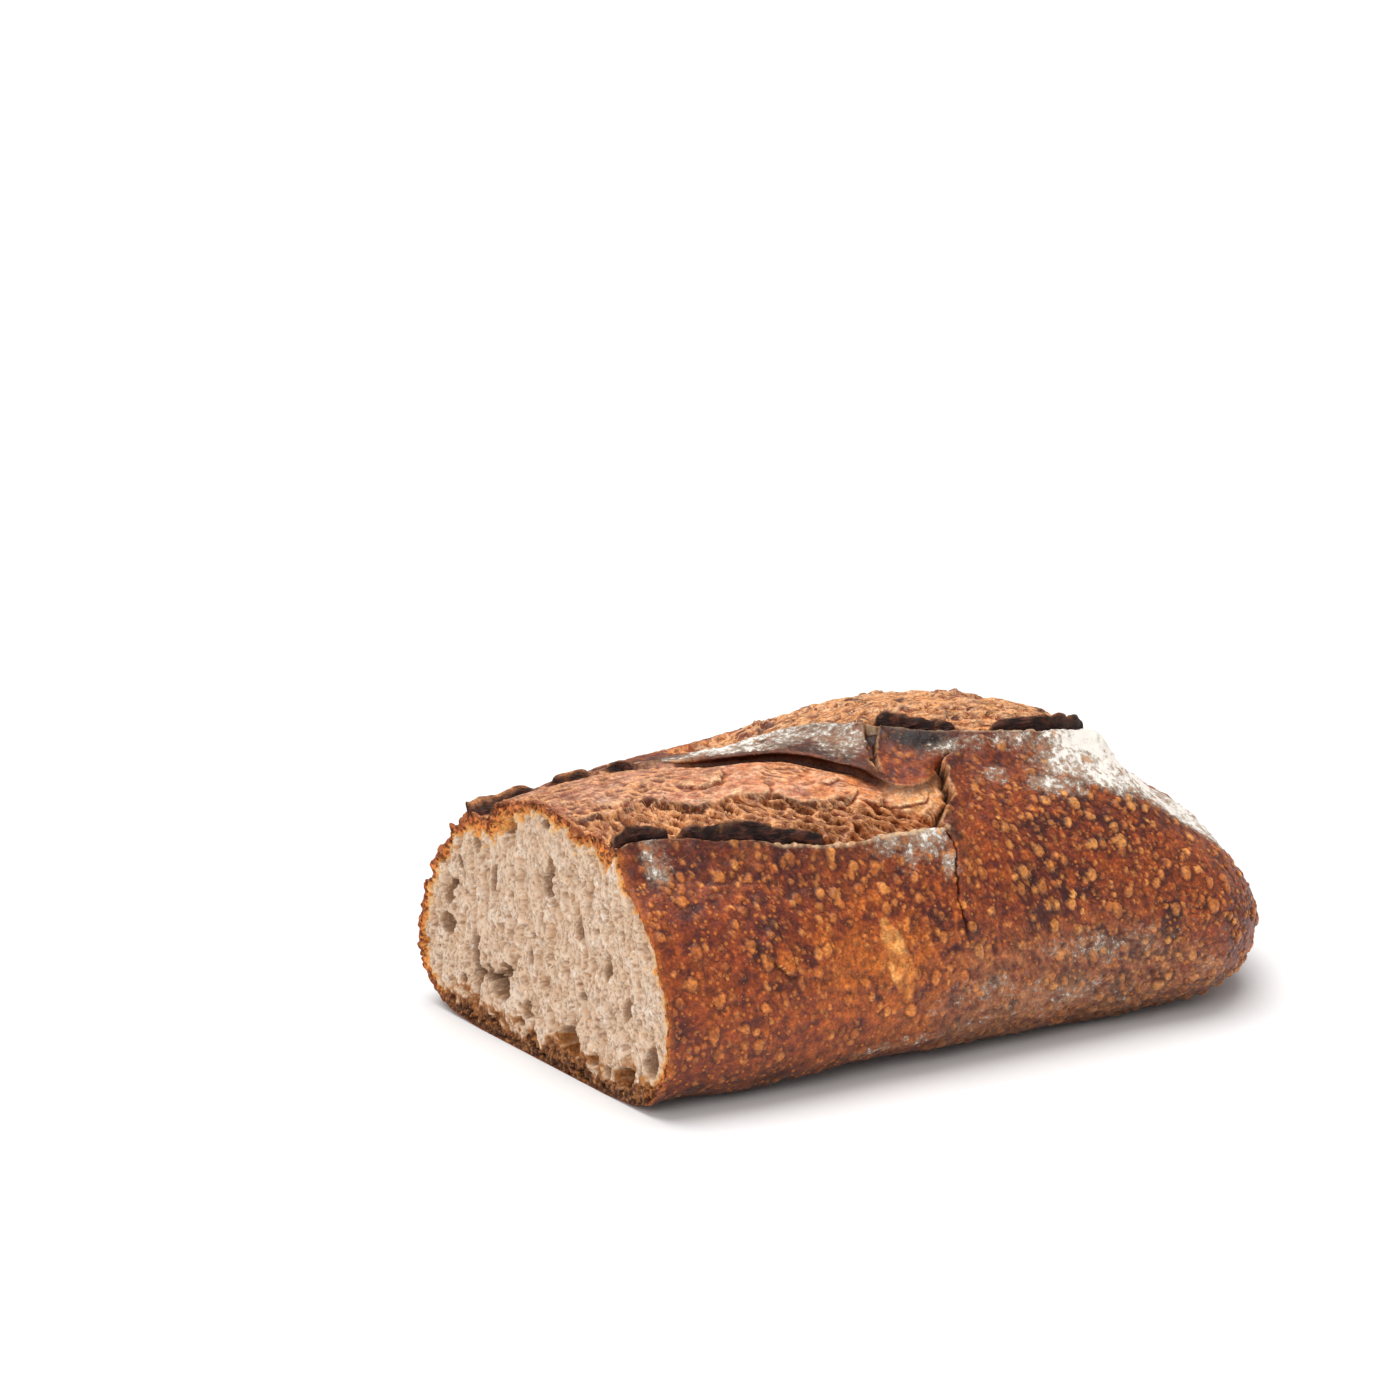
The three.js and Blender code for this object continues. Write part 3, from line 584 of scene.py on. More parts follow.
# a loose flake of skin and a patch where the surface has peeled
flake(38, 84, 3.6, 6.5, 2.0, 0.5, 90, skin)
peel_d = np.hypot((XF - 79.5 - 0.28 * (SF - 97)) / 4.6, (SF - 97) / 14.5) + 0.22 * noise(q, 4.5, 85)
peeled = 1 - ss(0.82, 0.95, peel_d)
fine += 0.35 * ss(0.82, 0.98, peel_d) * (1 - ss(1.0, 1.5, peel_d)) - 0.25 * peeled + 0.30 * peeled * ss(-0.05, 0.12, fbm(np.column_stack([XF, SF * 0.6]), 4.2, 3, 86))

# ----------------------------------------------------------------------------
# Put it together
# ----------------------------------------------------------------------------
fade = (ss(0, 0.3, end_fade) * off_floor)[:, None]
P1 = PF + (N0.reshape(-1, 3) * (rise + tex)[:, None] + TS.reshape(-1, 3) * move_s[:, None] + TX.reshape(-1, 3) * move_x[:, None]) * fade
N1 = mix(N0, frame_of(P1.reshape(NX, NS, 3))[0], ss(0.1, 1.6, X0)[..., None])
SKIN = (P1 + N1.reshape(-1, 3) * (fine * off_floor)[:, None]).reshape(NX, NS, 3)
SKIN[0, :, 0] = 0.0
SKIN[:, :, 0] -= SLANT * (SKIN[:, :, 1] - CUT_PIVOT) * (1 - np.clip(X0 / CUT_REACH, 0, 1))
plane = -SLANT * (SKIN[1:, :, 1] - CUT_PIVOT)
SKIN[1:, :, 0] = np.maximum(SKIN[1:, :, 0], plane + 0.02 * np.clip(np.arange(1, NX), 0, 20)[:, None])
half_flat = np.where(Y0 < 0, table(STATION, NEAR_FLAT, X0), table(STATION, FAR_FLAT, X0)) * np.maximum(closing(X0, 186, 2.3), 0.05)
out_w = np.abs(Y0) / half_flat
lift_z = ss(0.70, 1.02, out_w) * (1 - ss(0.5, 13, Z0)) * (1.5 + 1.2 * noise(np.column_stack([XF, 40.0 * (Y0.ravel() > 0)]), 26, 48).reshape(NX, NS))
SKIN[:, :, 2] = np.maximum(SKIN[:, :, 2], 0.0) + np.clip(lift_z, 0.0, 3.2) * (out_w > 0.70) * ss(0.70, 0.74, out_w)
tip = np.array([LENGTH, 0.0, WIDEST_AT[-1]])
print("rings", NX, "round", NS, "skin points", NX * NS)

# ----------------------------------------------------------------------------
# Colours of the skin
# ----------------------------------------------------------------------------


def rgb(r, g, b):
    c = np.array([r, g, b], float) / 255
    return np.where(c <= 0.04045, c / 12.92, ((c + 0.055) / 1.055) ** 2.4)


def lay(base, colour, w):
    return base + (colour - base) * np.clip(w, 0, 1)[:, None]


def grade(t, stops):
    """Colours along t: stops are (t, colour)."""
    ts = [s[0] for s in stops]
    return np.column_stack([np.interp(t, ts, [s[1][k] for s in stops]) for k in range(3)])


MAHOGANY, UMBER, CHESTNUT, AMBER, GOLD = rgb(112, 44, 26), rgb(56, 25, 22), rgb(150, 68, 28), rgb(200, 106, 36), rgb(222, 150, 78)
n_a, n_b, n_c, n_d = fbm(PF, 30, 3, 80), fbm(PF, 9, 3, 81), fbm(PF, 3.0, 3, 82), fbm(PF, 1.3, 2, 182)
streak = fbm(np.column_stack([XF, SF * 0.22]), 3.2, 3, 83)
height = rise + tex + fine
relief = height - blur(height, 3)
broad = height - blur(height, 9)
col = np.tile(MAHOGANY, (n_pt, 1))
warm = 0.72 * np.exp(-((XF - 76) / 34) ** 2 - ((SF - 96) / 25) ** 2) * (SF > 0)
col = lay(col, CHESTNUT, ss(-0.3, 0.4, n_a * 0.7 + 0.4 * n_b + 0.5 * n_c + 0.5 * warm))
col = lay(col, AMBER, ss(0.15, 0.9, warm * 0.9 + 0.5 * n_b + 0.35 * streak + 0.3 * n_c) * 0.8)
col = lay(col, AMBER, ss(0.15, 0.6, streak + 0.3 * n_b + 0.3 * n_c) * 0.4 * side)
col = lay(col, rgb(70, 31, 27), ss(0.0, 0.5, -n_b - 0.4 * n_a - 0.5 * n_c - 0.4 * warm) * 0.88)
col = lay(col, rgb(84, 36, 34), ss(0.12, 0.6, -n_d - 0.5 * n_c) * 0.55)
col = lay(col, rgb(206, 112, 46), ss(0.22, 0.65, n_d + 0.4 * n_c) * 0.60)
lift = np.maximum.reduce([on_f1 * np.exp(-np.clip(d_f1, 0, None) / 6) * (d_f1 > -0.5), on_b1 * np.exp(-np.clip(-d_b1, 0, None) / 9) * (d_b1 < 0.5),
                          on_f2 * np.exp(-np.clip(d_f2, 0, None) / 8) * (d_f2 > -0.5), on_b2 * np.exp(-np.clip(-d_b2, 0, None) / 7) * (d_b2 < 0.5)])
col = lay(col, rgb(58, 30, 24), 0.75 * lift * ss(-0.5, 0.4, n_b + 0.3))
# painted shade: darker in the creases, in the groove round each blister and in every hollow of the relief
col = lay(col, UMBER, 0.5 * crease)
col = lay(col, UMBER, 0.22 * ring)
col = lay(col, UMBER, np.clip(-relief / 0.22, 0, 1) * 0.55)
bl_col = AMBER[None] + (rgb(240, 164, 86) - AMBER)[None] * np.clip(0.22 + 0.6 * brid + 0.2 * right_end + 0.5 * n_c, 0, 1)[:, None]
w = (blister * np.clip(0.75 + 0.6 * n_c + 0.3 * n_d, 0.2, 0.95))[:, None]
col = col + (bl_col - col) * w
peel_n = fbm(np.column_stack([XF, SF * 0.6]), 4.2, 3, 86)
col = lay(col, rgb(206, 124, 56), 0.80 * peeled * (SF > 0))
col = lay(col, rgb(232, 164, 92), 0.75 * peeled * ss(-0.05, 0.25, peel_n) * (SF > 0))
col = lay(col, rgb(140, 66, 26), 0.7 * peeled * ss(-0.1, -0.4, peel_n) * (SF > 0))
col = lay(col, rgb(74, 32, 18), 0.6 * ss(0.95, 1.0, peel_d) * (1 - ss(1.02, 1.16, peel_d)) * ss(-0.2, 0.3, XF - 79.5) * (SF > 0))
col = lay(col, rgb(236, 162, 88), 0.85 * flake_edge * skin)
# painted shadow under the loose flake of skin
col = lay(col, rgb(58, 24, 12), 0.8 * flake_shadow * skin)
base_w = ss(108, 132, np.abs(SF) + 6 * n_b)
col = lay(col, rgb(112, 64, 34), 0.62 * base_w * (0.8 + 0.5 * n_c))
col = lay(col, rgb(176, 122, 82), 0.50 * side * ss(88, 108, SF + 8 * n_b) * (SF > 0) * ss(84, 112, XF) * (1 - ss(196, 228, XF)) * np.clip(0.5 + 1.2 * n_c + 0.6 * n_d, 0, 1))
under = 1 - ss(0.2, 1.4, ZF)
col = lay(col, rgb(128, 76, 44), 0.85 * under)
col = lay(col, rgb(74, 42, 26), under * ss(0.0, 0.6, n_b) * 0.5)
col = lay(col, rgb(52, 40, 36), 0.8 * on_b1 * along(ss(50, 62, x_st)) * ss(9, 2, -d_b1) * (d_b1 < 0) * (dl < 0) * ss(-0.6, 0.5, fbm(np.column_stack([XF / 6, SF / 2.5]), 1.0, 3, 84)))

# torn dough
pale = ss(88, 97, XF) * (1 - ss(-0.3, 1.2, crest_d)) * torn_1
t_col = grade(XF, [(0, rgb(182, 114, 84)), (30, rgb(198, 130, 102)), (60, rgb(220, 138, 94)), (85, rgb(224, 136, 82)), (120, rgb(226, 144, 88))])
t_col = lay(t_col, rgb(246, 152, 86), torn_2)
t_col = lay(t_col, rgb(132, 82, 72), ss(0.0, 0.4, fbm(PF, 7, 3, 88)) * (1 - ss(60, 92, XF)) * torn_1 * 0.75)
t_col = lay(t_col, rgb(232, 188, 164), ss(0.0, 0.6, fbm(q, 8, 3, 188)) * smooth_1 * (1 - ss(36, 66, XF)) * 0.55)
t_col = lay(t_col, rgb(204, 100, 48), ss(0.1, 0.6, fbm(q, 6, 3, 189)) * smooth_1 * ss(30, 70, XF) * 0.40)
t_col = lay(t_col, rgb(178, 112, 96), ss(0.15, 0.6, fbm(np.column_stack([XF / 1.6, SF]), 6.0, 3, 190)) * smooth_1 * ss(50, 76, XF) * 0.65)
fibre = np.column_stack([(XF - 1.1 * (SF - 30)) / 1.0, SF / 4.0])
t_col = lay(t_col, rgb(150, 78, 46), ss(0.10, 0.55, fbm(fibre, 1.4, 3, 191)) * smooth_1 * 0.50)
t_col = lay(t_col, rgb(250, 206, 170), ss(0.12, 0.55, fbm(fibre, 1.2, 3, 192)) * smooth_1 * 0.45)
t_col = lay(t_col, rgb(128, 70, 48), ss(0.30, 0.55, fbm(np.column_stack([XF / 2.0, SF]), 2.2, 2, 195)) * smooth_1 * 0.6)
t_col = lay(t_col, rgb(228, 160, 100), pale)
t_col = lay(t_col, rgb(180, 102, 50), pale * ss(0.05, 0.5, fbm(np.column_stack([XF / 6.0, SF / 1.1]), 1.0, 3, 197)) * 0.7)
t_col = lay(t_col, rgb(248, 206, 158), pale * ss(0.10, 0.5, fbm(np.column_stack([XF / 6.0, SF / 0.9]), 1.0, 3, 198)) * 0.55)
t_col = lay(t_col, rgb(200, 98, 44), open_1 * 0.9)
# painted shade in the wrinkle valleys and painted highlight on the wrinkle ridges
t_col = lay(t_col, rgb(142, 76, 46), smooth_1 * ss(0.25, -0.5, wr) * 0.45)
t_col = lay(t_col, rgb(252, 210, 176), smooth_1 * ss(0.62, 0.95, wr) * 0.40)
# painted shade in the pockets of the torn dough
t_col = lay(t_col, rgb(88, 30, 10), np.clip(1.15 * pocket, 0, 1) * 0.92)
t_col = lay(t_col, rgb(56, 18, 8), open_1 * ss(0.35, 0.9, pocket) * 0.8)
# painted shade in the hollows of the relief
t_col = lay(t_col, rgb(84, 32, 14), np.clip(-relief / 0.45, 0, 1) * 0.68)
t_col = lay(t_col, rgb(246, 170, 108), np.clip(strand, 0, 1) * 0.9)
t_col = lay(t_col, rgb(255, 178, 112), torn_2 * np.clip(strand, 0, 1) * 0.8)
# painted highlight on the bumps of the relief
t_col = lay(t_col, rgb(250, 192, 140), np.clip(relief / 0.35 - 0.15, 0, 1) * 0.45)
t_col = lay(t_col, rgb(58, 32, 26), torn_1 * np.exp(-((crest_d - 0.1) / 1.2) ** 2) * ss(-0.35, 0.15, noise(q, 6, 89)) * (1 - ss(72, 86, XF)) * 0.9)
t_col = lay(t_col, rgb(250, 208, 164), flake_edge * 0.75)
# painted shadow under the flakes of torn dough
t_col = lay(t_col, rgb(122, 50, 18), flake_shadow * 0.85)
t_col = lay(t_col, rgb(60, 40, 36), torn_2 * ss(0.42, 0.6, noise(q, 6, 91)) * 0.8)
t_col = lay(t_col, rgb(34, 26, 25), torn_2 * np.exp(-((XF - 112) / 3.0) ** 4 - ((SF + 12) / 4) ** 4) * 0.9)
# painted shade on the torn dough just behind the first front lip and under the back lip
t_col = lay(t_col, rgb(70, 28, 14), 0.8 * np.maximum(np.exp(-np.clip(-d_f1, 0, None) / 1.5), np.exp(-(np.clip(d_b1, 0, None) / np.interp(XF, [0, 40, 60], [1.5, 1.8, 4.2])) ** 4)) * torn_1)
col = col + (t_col - col) * torn[:, None]

# painted shade: the skin darker towards the floor, where it tucks under
col = col * (1 - 0.42 * ss(17, 1, ZF) * skin)[:, None]
col = lay(col, rgb(168, 86, 34), np.exp(-(XF / 1.7) ** 2) * (0.85 + 0.5 * n_c))
# charred ears, the thin rim of the skin, the crack and the notch
char = ear_all * np.clip(0.98 + 0.3 * fbm(np.column_stack([XF / 7.0, SF / 1.2]), 1.0, 2, 92), 0.6, 1)
rim, ear_top = np.zeros(n_pt), np.zeros(n_pt)
for d, E_, on_ in ((d_f1, E_f1, on_f1), (-d_b1, E_b1, on_b1 * (1 - 0.9 * ss(44, 54, XF))), (d_f2, E_f2, on_f2), (-d_b2, E_b2, on_b2)):
    rim = np.maximum(rim, on_ * ss(-0.5, -0.2, d) * (1 - ss(0.3, 0.85, d)))
    ear_top = np.maximum(ear_top, on_ * ss(0.5, 1.5, E_) * ss(-1.95, -1.78, d) * (1 - ss(-1.58, -1.40, d)))
thin = np.clip(0.6 + 0.9 * noise(q, 4, 93) + 0.6 * noise(q, 1.3, 193), 0, 1)
crk = ss(-0.1, 0.15, dc) * (1 - ss(0.45, 0.9, dc)) * up_part
groove = np.maximum(ss(-3.4, -1.0, dc) * (1 - ss(-0.25, 0.0, dc)) * up_part, ss(-1.0, -0.5, dc) * (1 - ss(-0.2, 0.1, dc)) * low_part)
groove = np.maximum(groove, nt_w * in_notch)
# painted shade in the open crack and inside the notch
col = lay(col, rgb(44, 20, 12), 0.9 * groove)
col = lay(col, rgb(164, 88, 40), 0.8 * nt_w * in_notch * ss(0.0, 0.5, noise(q, 2.2, 38)))
col = lay(col, rgb(220, 166, 118), 0.9 * np.maximum(rim * thin, crk * thin))
col = lay(col, rgb(214, 184, 150), 0.7 * on_f2 * ss(-0.5, -0.1, d_f2) * (1 - ss(0.6, 1.7, d_f2)) * np.clip(thin + 0.1, 0, 1))
col = lay(col, rgb(222, 186, 146), 0.7 * on_f1 * ss(-0.5, -0.1, d_f1) * (1 - ss(0.8, 1.9, d_f1)) * ss(40, 54, XF) * np.clip(thin + 0.2, 0, 1))
col = lay(col, rgb(206, 156, 112), 0.7 * thin * nt_w * np.maximum(ss(-0.1, 0.2, dr) * (1 - ss(0.5, 0.9, dr)), ss(-1.0, -0.6, dl) * (1 - ss(-0.2, 0.1, dl))))
col = lay(col, rgb(25, 15, 16), 0.98 * char)
# painted shadow under the overhanging flap of the first back lip, with a reddish-brown rim at the flap's edge
flap_shadow = on_b1 * ss(44, 56, XF) * ss(-0.9, -0.35, d_b1) * np.exp(-(np.clip(d_b1, 0, None) / 3.6) ** 4) * (d_b1 < 12)
col = lay(col, rgb(64, 28, 16), 0.92 * flap_shadow)
col = lay(col, rgb(132, 66, 34), 0.8 * flap_shadow * ss(-0.9, -0.5, d_b1) * ss(0.1, -0.3, d_b1) * thin)
# painted sheen on the ridges of the ear folds
col = lay(col, rgb(92, 50, 40), char * np.clip((fold - 0.10) / 0.5, 0, 1) * 0.42)
col = lay(col, rgb(206, 140, 92), 0.85 * ear_top * thin)
black = np.exp(-((XF - 113) / 11) ** 4 - ((d_f2 - 4.5) / 4.2) ** 4) * (d_f2 > 0.5) * (dr > 0.5)
col = lay(col, rgb(24, 20, 19), 0.95 * black * skin * ss(-0.6, 0.1, n_b + 0.3))
near_crack = np.exp(-((dc - 3) / 3.2) ** 2 - ((SF - 63) / 10) ** 2) * (dc > 0.4)
col = lay(col, rgb(40, 30, 27), 0.8 * near_crack * ss(-0.3, 0.3, n_c + 0.1))

# flour: how much lies where; the material breaks it into clumps
fl_n, fl_m = fbm(PF, 12, 3, 90), fbm(PF, 3.5, 3, 94)


def dust(x, s, rx, rs, amount):
    return amount * np.exp(-np.abs((XF - x) / rx) ** 2.6 - np.abs((SF - s) / rs) ** 2.6)


flour = np.maximum.reduce([
    dust(162, 40, 17, 12, 1.25), dust(174, 44, 15, 9, 1.45), dust(187, 28, 16, 19, 2.1), dust(201, 42, 15, 8, 1.55), dust(213, 33, 14, 16, 1.5), dust(168, 32, 15, 7, 1.9),
    dust(146, 50, 9, 5, 0.85), dust(131, 46, 6, 4, 0.85), dust(154, 52, 9, 5, 0.9), dust(146, 34, 14, 4, 0.75), dust(11, 48, 5, 9, 0.85), dust(84, 62, 8, 4, 0.85), dust(95, 65, 10, 6, 0.95),
    dust(103, 72, 4, 6, 0.85), dust(122, 33, 14, 3.5, 0.75), dust(74, 5, 28, 9, 0.92), dust(90, 16, 10, 12, 0.90), dust(64, -3, 22, 7, 1.35),
    dust(106, 114, 26, 6, 0.52), dust(146, 104, 22, 6, 0.56), dust(170, 100, 14, 6, 0.46), dust(85, 126, 30, 4, 0.50), dust(200, 98, 24, 16, 0.34), dust(140, 120, 50, 9, 0.42),
    dust(60, -74, 60, 26, 0.7), dust(150, -62, 40, 18, 0.9), dust(190, -36, 22, 20, 1.05), dust(20, -64, 16, 12, 0.7),
])
flour = flour * (0.88 + 0.38 * fl_n + 0.40 * fl_m) + 0.14 * ss(0.1, 0.7, fl_n) * side
flour = np.clip(flour, 0, 2.0) * skin * (1 - ear_all) * off_floor * (1 - 0.4 * blister) * (1 - groove) * (1 - flap_shadow)
SKIN_COL = np.clip(col, 0.001, 1)
rough = mix(0.42 + 0.10 * n_b - 0.10 * blister, 0.40 - 0.04 * open_1, torn)
rough = np.clip(mix(rough, 0.46, char), 0.26, 0.95)

# ----------------------------------------------------------------------------
# The cut face: points on the slanted plane, pressed in to make the crumb
# ----------------------------------------------------------------------------
rim_yz = SKIN[0][:, 1:3].copy()
h = 0.41 * FINE
gy, gz = np.arange(-76, 76, h), np.arange(0.2, 100, h * 0.866)
pts = np.concatenate([np.column_stack([gy + (h / 2 if i % 2 else 0), np.full(len(gy), z)]) for i, z in enumerate(gz)])
num = np.arange(len(pts))
pts = pts + 0.2 * h * np.column_stack([rnd(1, num, 0 * num) - 0.5, rnd(2, num, 0 * num) - 0.5])


def inside(p, poly):
    """Even-odd test of many points against one polygon."""
    c = np.zeros(len(p), bool)
    nxt = np.roll(poly, -1, axis=0)
    for (a, b), (a2, b2) in zip(poly, nxt):
        if b == b2:
            continue
        m = (p[:, 1] >= min(b, b2)) & (p[:, 1] < max(b, b2))
        c[m] ^= p[m, 0] < a + (p[m, 1] - b) / (b2 - b) * (a2 - a)
    return c


pts = pts[inside(pts, rim_yz)]
kd = kdtree.KDTree(len(rim_yz))
for i, (a, b) in enumerate(rim_yz):
    kd.insert((a, b, 0), i)
kd.balance()
near_rim = np.array([kd.find((a, b, 0))[1:3] for a, b in pts])
to_rim, rim_id = near_rim[:, 1], near_rim[:, 0].astype(int)
keep = to_rim > 0.32 * FINE
pts, to_rim, rim_id = pts[keep], to_rim[keep], rim_id[keep]
verts2, _, tris, orig, _, _ = delaunay_2d_cdt([Vector(v) for v in np.concatenate([rim_yz, pts])], [(i, (i + 1) % NS) for i in range(NS)], [], 1, 1e-7, True)
order = np.array([o[0] if o else kd.find((v[0], v[1], 0))[1] for o, v in zip(orig, verts2)])
cut_tris = order[np.array(tris)]
both_ = np.concatenate([rim_yz, pts])
whole = (cut_tris[:, 0] != cut_tris[:, 1]) & (cut_tris[:, 1] != cut_tris[:, 2]) & (cut_tris[:, 0] != cut_tris[:, 2])
on_edge = np.nonzero(whole & (cut_tris < NS).all(axis=1))[0]
whole[on_edge] = inside(both_[cut_tris[on_edge]].mean(axis=1), rim_yz)
cut_tris = cut_tris[whole]
print("cut face points", len(verts2), "of", len(rim_yz) + len(pts), "triangles", len(tris), "kept", len(cut_tris))

# how thick the crust is goes with the nearest piece of rim
rim_s = S0[0]
rim_torn = torn.reshape(NX, NS)[0]
is_low = ss(112, 132, np.abs(rim_s))
by_lip = np.exp(-((rim_s - 37) / 7) ** 2)
thick = (2.1 + 1.5 * rim_torn + 1.6 * np.exp(-((rim_s + 30) / 16) ** 2) + 3.4 * by_lip + 5.0 * is_low)[rim_id] * np.clip(1 + 0.9 * fbm(pts, 7, 2, 300) + 0.9 * fbm(pts, 2.4, 2, 301), 0.22, 2.3)
t = to_rim / thick
crust = 1 - ss(0.45, 1.05, t)
low_c, top_c = is_low[rim_id] * (pts[:, 1] < 16), rim_torn[rim_id]

# pores, standing upright and leaning inwards at the sides
warp_y, warp_z = 1.5 * noise(pts, 9, 310) + 0.5 * noise(pts, 2.6, 312), 1.8 * noise(pts, 9, 311) + 0.6 * noise(pts, 2.6, 313)
fan_y = pts[:, 0] * (1 + 0.004 * (pts[:, 1] - 30)) + warp_y
fan_z = pts[:, 1] + warp_z


def pits(wide, tall, seed, share, rag=0.09):
    """Scattered steep-sided pits, some smaller than others: 1 in a pit, 0 outside."""
    f1_, _, r_ = cells(np.column_stack([fan_y / wide, fan_z / tall]), 1.0, seed)
    size = 0.55 + 0.45 * ((r_ * 7.13) % 1.0)
    return (1 - ss(0.20 * size, 0.47 * size, f1_ + rag * noise(pts, 1.5, seed + 1))) * (r_ < share)


p_1, p_2, p_3, p_4, p_5 = pits(5.2, 12.0, 350, 0.42), pits(3.4, 6.6, 360, 0.5), pits(2.2, 3.6, 365, 0.5, 0.12), pits(1.35, 1.9, 340, 0.55, 0.12), pits(0.95, 1.15, 345, 0.5, 0.12)
swell = noise(np.column_stack([fan_y / 4.6, fan_z / 12.0]), 1.0, 320)
depth = 2.1 * p_1 + 1.5 * p_2 + 0.95 * p_3 + 0.5 * p_4 + 0.22 * p_5 + 1.1 * ss(-0.1, 0.5, swell) + 0.22 * fbm(pts, 1.5, 2, 370) + 0.8 * fbm(pts, 14, 2, 371)

HOLES = [  # y, z, half width, half height, depth, lean in degrees, strength of painted shade, ragged
    (-5, 57.5, 3.0, 4.8, 4.5, 6, 0.45, 0.7), (-6, 64, 2.0, 3.2, 1.6, 0, 0.1, 0.7), (53, 43.5, 3.4, 2.8, 5.0, 0, 0.8, 1), (54, 39.0, 3.4, 3.4, 2.6, 0, 0.25, 0.7),
    (54.5, 29.5, 4.6, 4.0, 3.2, 10, 0.4, 0.5), (37.5, 20.5, 2.9, 10.0, 6.5, -5, 0.7, 0.8), (23.5, 17.5, 5.4, 4.8, 7.0, 20, 0.85, 1.7), (30, 20, 3.2, 3.4, 4.5, 30, 0.6, 1.7),
    (20, 23.5, 3.2, 3.0, 2.8, 0, 0.4, 1.5), (-16.5, 10.8, 6.2, 5.0, 4.6, 10, 0.35, 0.4), (-6, 6.4, 3.2, 1.8, 4.5, 10, 0.9, 0.8), (-37, 7.2, 2.6, 2.4, 4.0, 0, 0.9, 0.8),
    (-46, 7.6, 4.6, 3.8, 5.5, 10, 0.95, 0.7), (-60, 17, 3.6, 5.4, 4.2, 12, 0.55, 0.7), (17.5, 70.4, 5.2, 2.9, 3.6, -20, 0.7, 0.6), (-4, 76, 2.6, 1.6, 2.4, 0, 0.7, 0.7),
    (-24, 27, 2.0, 1.6, 2.6, 0, 0.5, 0.8), (26, 52, 2.2, 5.4, 1.9, 5, 0.2, 0.7), (5, 33, 1.6, 3.4, 1.6, 0, 0.2, 0.7), (-38, 40, 1.8, 5.0, 1.7, 12, 0.15, 0.7),
    (-22, 48, 2.0, 4.4, 1.7, 10, 0.15, 0.7), (-48, 30, 2.2, 4.8, 1.9, 16, 0.2, 0.7), (8, 14, 2.6, 3.2, 2.2, 0, 0.3, 0.8), (45, 14, 2.2, 1.8, 2.8, 0, 0.6, 0.8), (58, 50, 2.0, 1.8, 2.4, 0, 0.6, 1.0),
    (12, 9, 2.2, 1.6, 2.5, 0, 0.7, 0.8), (-28, 8, 2.0, 1.8, 2.6, 0, 0.6, 0.8), (36, 60, 2.4, 3.0, 1.6, -10, 0.2, 0.8), (46, 52, 1.8, 2.6, 1.8, -10, 0.3, 0.8),
]
hole_shade, hole_in = np.zeros(len(pts)), np.zeros(len(pts))
edge_n = 0.22 * fbm(pts, 2.6, 3, 380)
for y, z, w_, h_, d_, lean_, shade_w, rag_ in HOLES:
    c, s = math.cos(math.radians(lean_)), math.sin(math.radians(lean_))
    dy, dz = pts[:, 0] - y, pts[:, 1] - z
    r = np.hypot((dy * c + dz * s) / w_, (-dy * s + dz * c) / h_) + edge_n * rag_
    k = 1 - ss(0.62, 1.02, r)
    depth = np.maximum(depth * (1 - 0.7 * k), 1.35 * d_ * k + 0.35 * depth)
    hole_shade = np.maximum(hole_shade, shade_w * (1 - ss(0.45, 1.0, r)))
    hole_in = np.maximum(hole_in, 1 - ss(0.85, 1.05, r))

pit = ss(0.05, 0.40, fbm(pts, 1.9, 2, 396))
crust_depth = 0.35 + 0.6 * fbm(pts, 1.3, 3, 390) + pit * (0.9 + 1.4 * low_c + 0.7 * top_c)
depth = np.clip(mix(depth, crust_depth, crust), 0, None) * ss(0.0, 0.8, to_rim)
CUT = np.column_stack([-SLANT * (pts[:, 0] - CUT_PIVOT) + depth, pts[:, 0], pts[:, 1]])

c_col = np.tile(rgb(222, 193, 166), (len(pts), 1))
c_col = lay(c_col, rgb(240, 224, 208), ss(-0.1, 0.5, fbm(pts, 6, 3, 400)) * 0.5)
c_col = lay(c_col, rgb(224, 172, 120), ss(0.15, 0.55, fbm(pts, 1.9, 2, 401)) * 0.45)
# painted shade in the pores and pits of the crumb
c_col = lay(c_col, rgb(206, 166, 128), np.clip(0.55 * p_1 + 0.6 * p_2 + 0.35 * ss(-0.1, 0.5, swell), 0, 1) * 0.8)
c_col = lay(c_col, rgb(150, 108, 76), np.clip(0.75 * p_3 + 0.75 * p_4 + 0.7 * p_5, 0, 1) * 0.76)
# painted highlight flecks on the crumb between the pits
c_col = lay(c_col, rgb(252, 244, 234), ss(0.25, 0.6, fbm(pts, 1.2, 2, 403)) * (1 - np.clip(p_2 + p_3 + p_4, 0, 1)) * 0.62)
# painted shade inside the large holes
c_col = lay(c_col, rgb(150, 112, 82), hole_in * 0.84)
c_col = lay(c_col, rgb(70, 42, 26), hole_shade * 0.98)
ring_c = grade(t, [(0.0, rgb(112, 50, 22)), (0.28, rgb(182, 88, 34)), (0.6, rgb(222, 130, 52)), (1.0, rgb(236, 174, 98)), (1.5, rgb(234, 206, 168))])
low_ring = grade(t, [(0.0, rgb(78, 38, 16)), (0.55, rgb(112, 62, 24)), (1.0, rgb(160, 96, 40)), (1.5, rgb(222, 180, 132))])
ring_c = ring_c + (low_ring - ring_c) * low_c[:, None]
c_col = c_col + (ring_c - c_col) * (0.94 * (1 - ss(0.9, 1.6, t)) * (1 - 0.5 * hole_shade))[:, None]
# painted shade in the pits of the crust
c_col = lay(c_col, rgb(60, 26, 12), crust * pit * (0.45 + 0.50 * low_c + 0.25 * top_c))
c_col = lay(c_col, rgb(234, 168, 88), crust * (1 - pit) * ss(0.15, 0.5, fbm(pts, 1.2, 2, 402)) * (0.5 - 0.2 * low_c))
CUT_COL = np.clip(c_col, 0.001, 1)

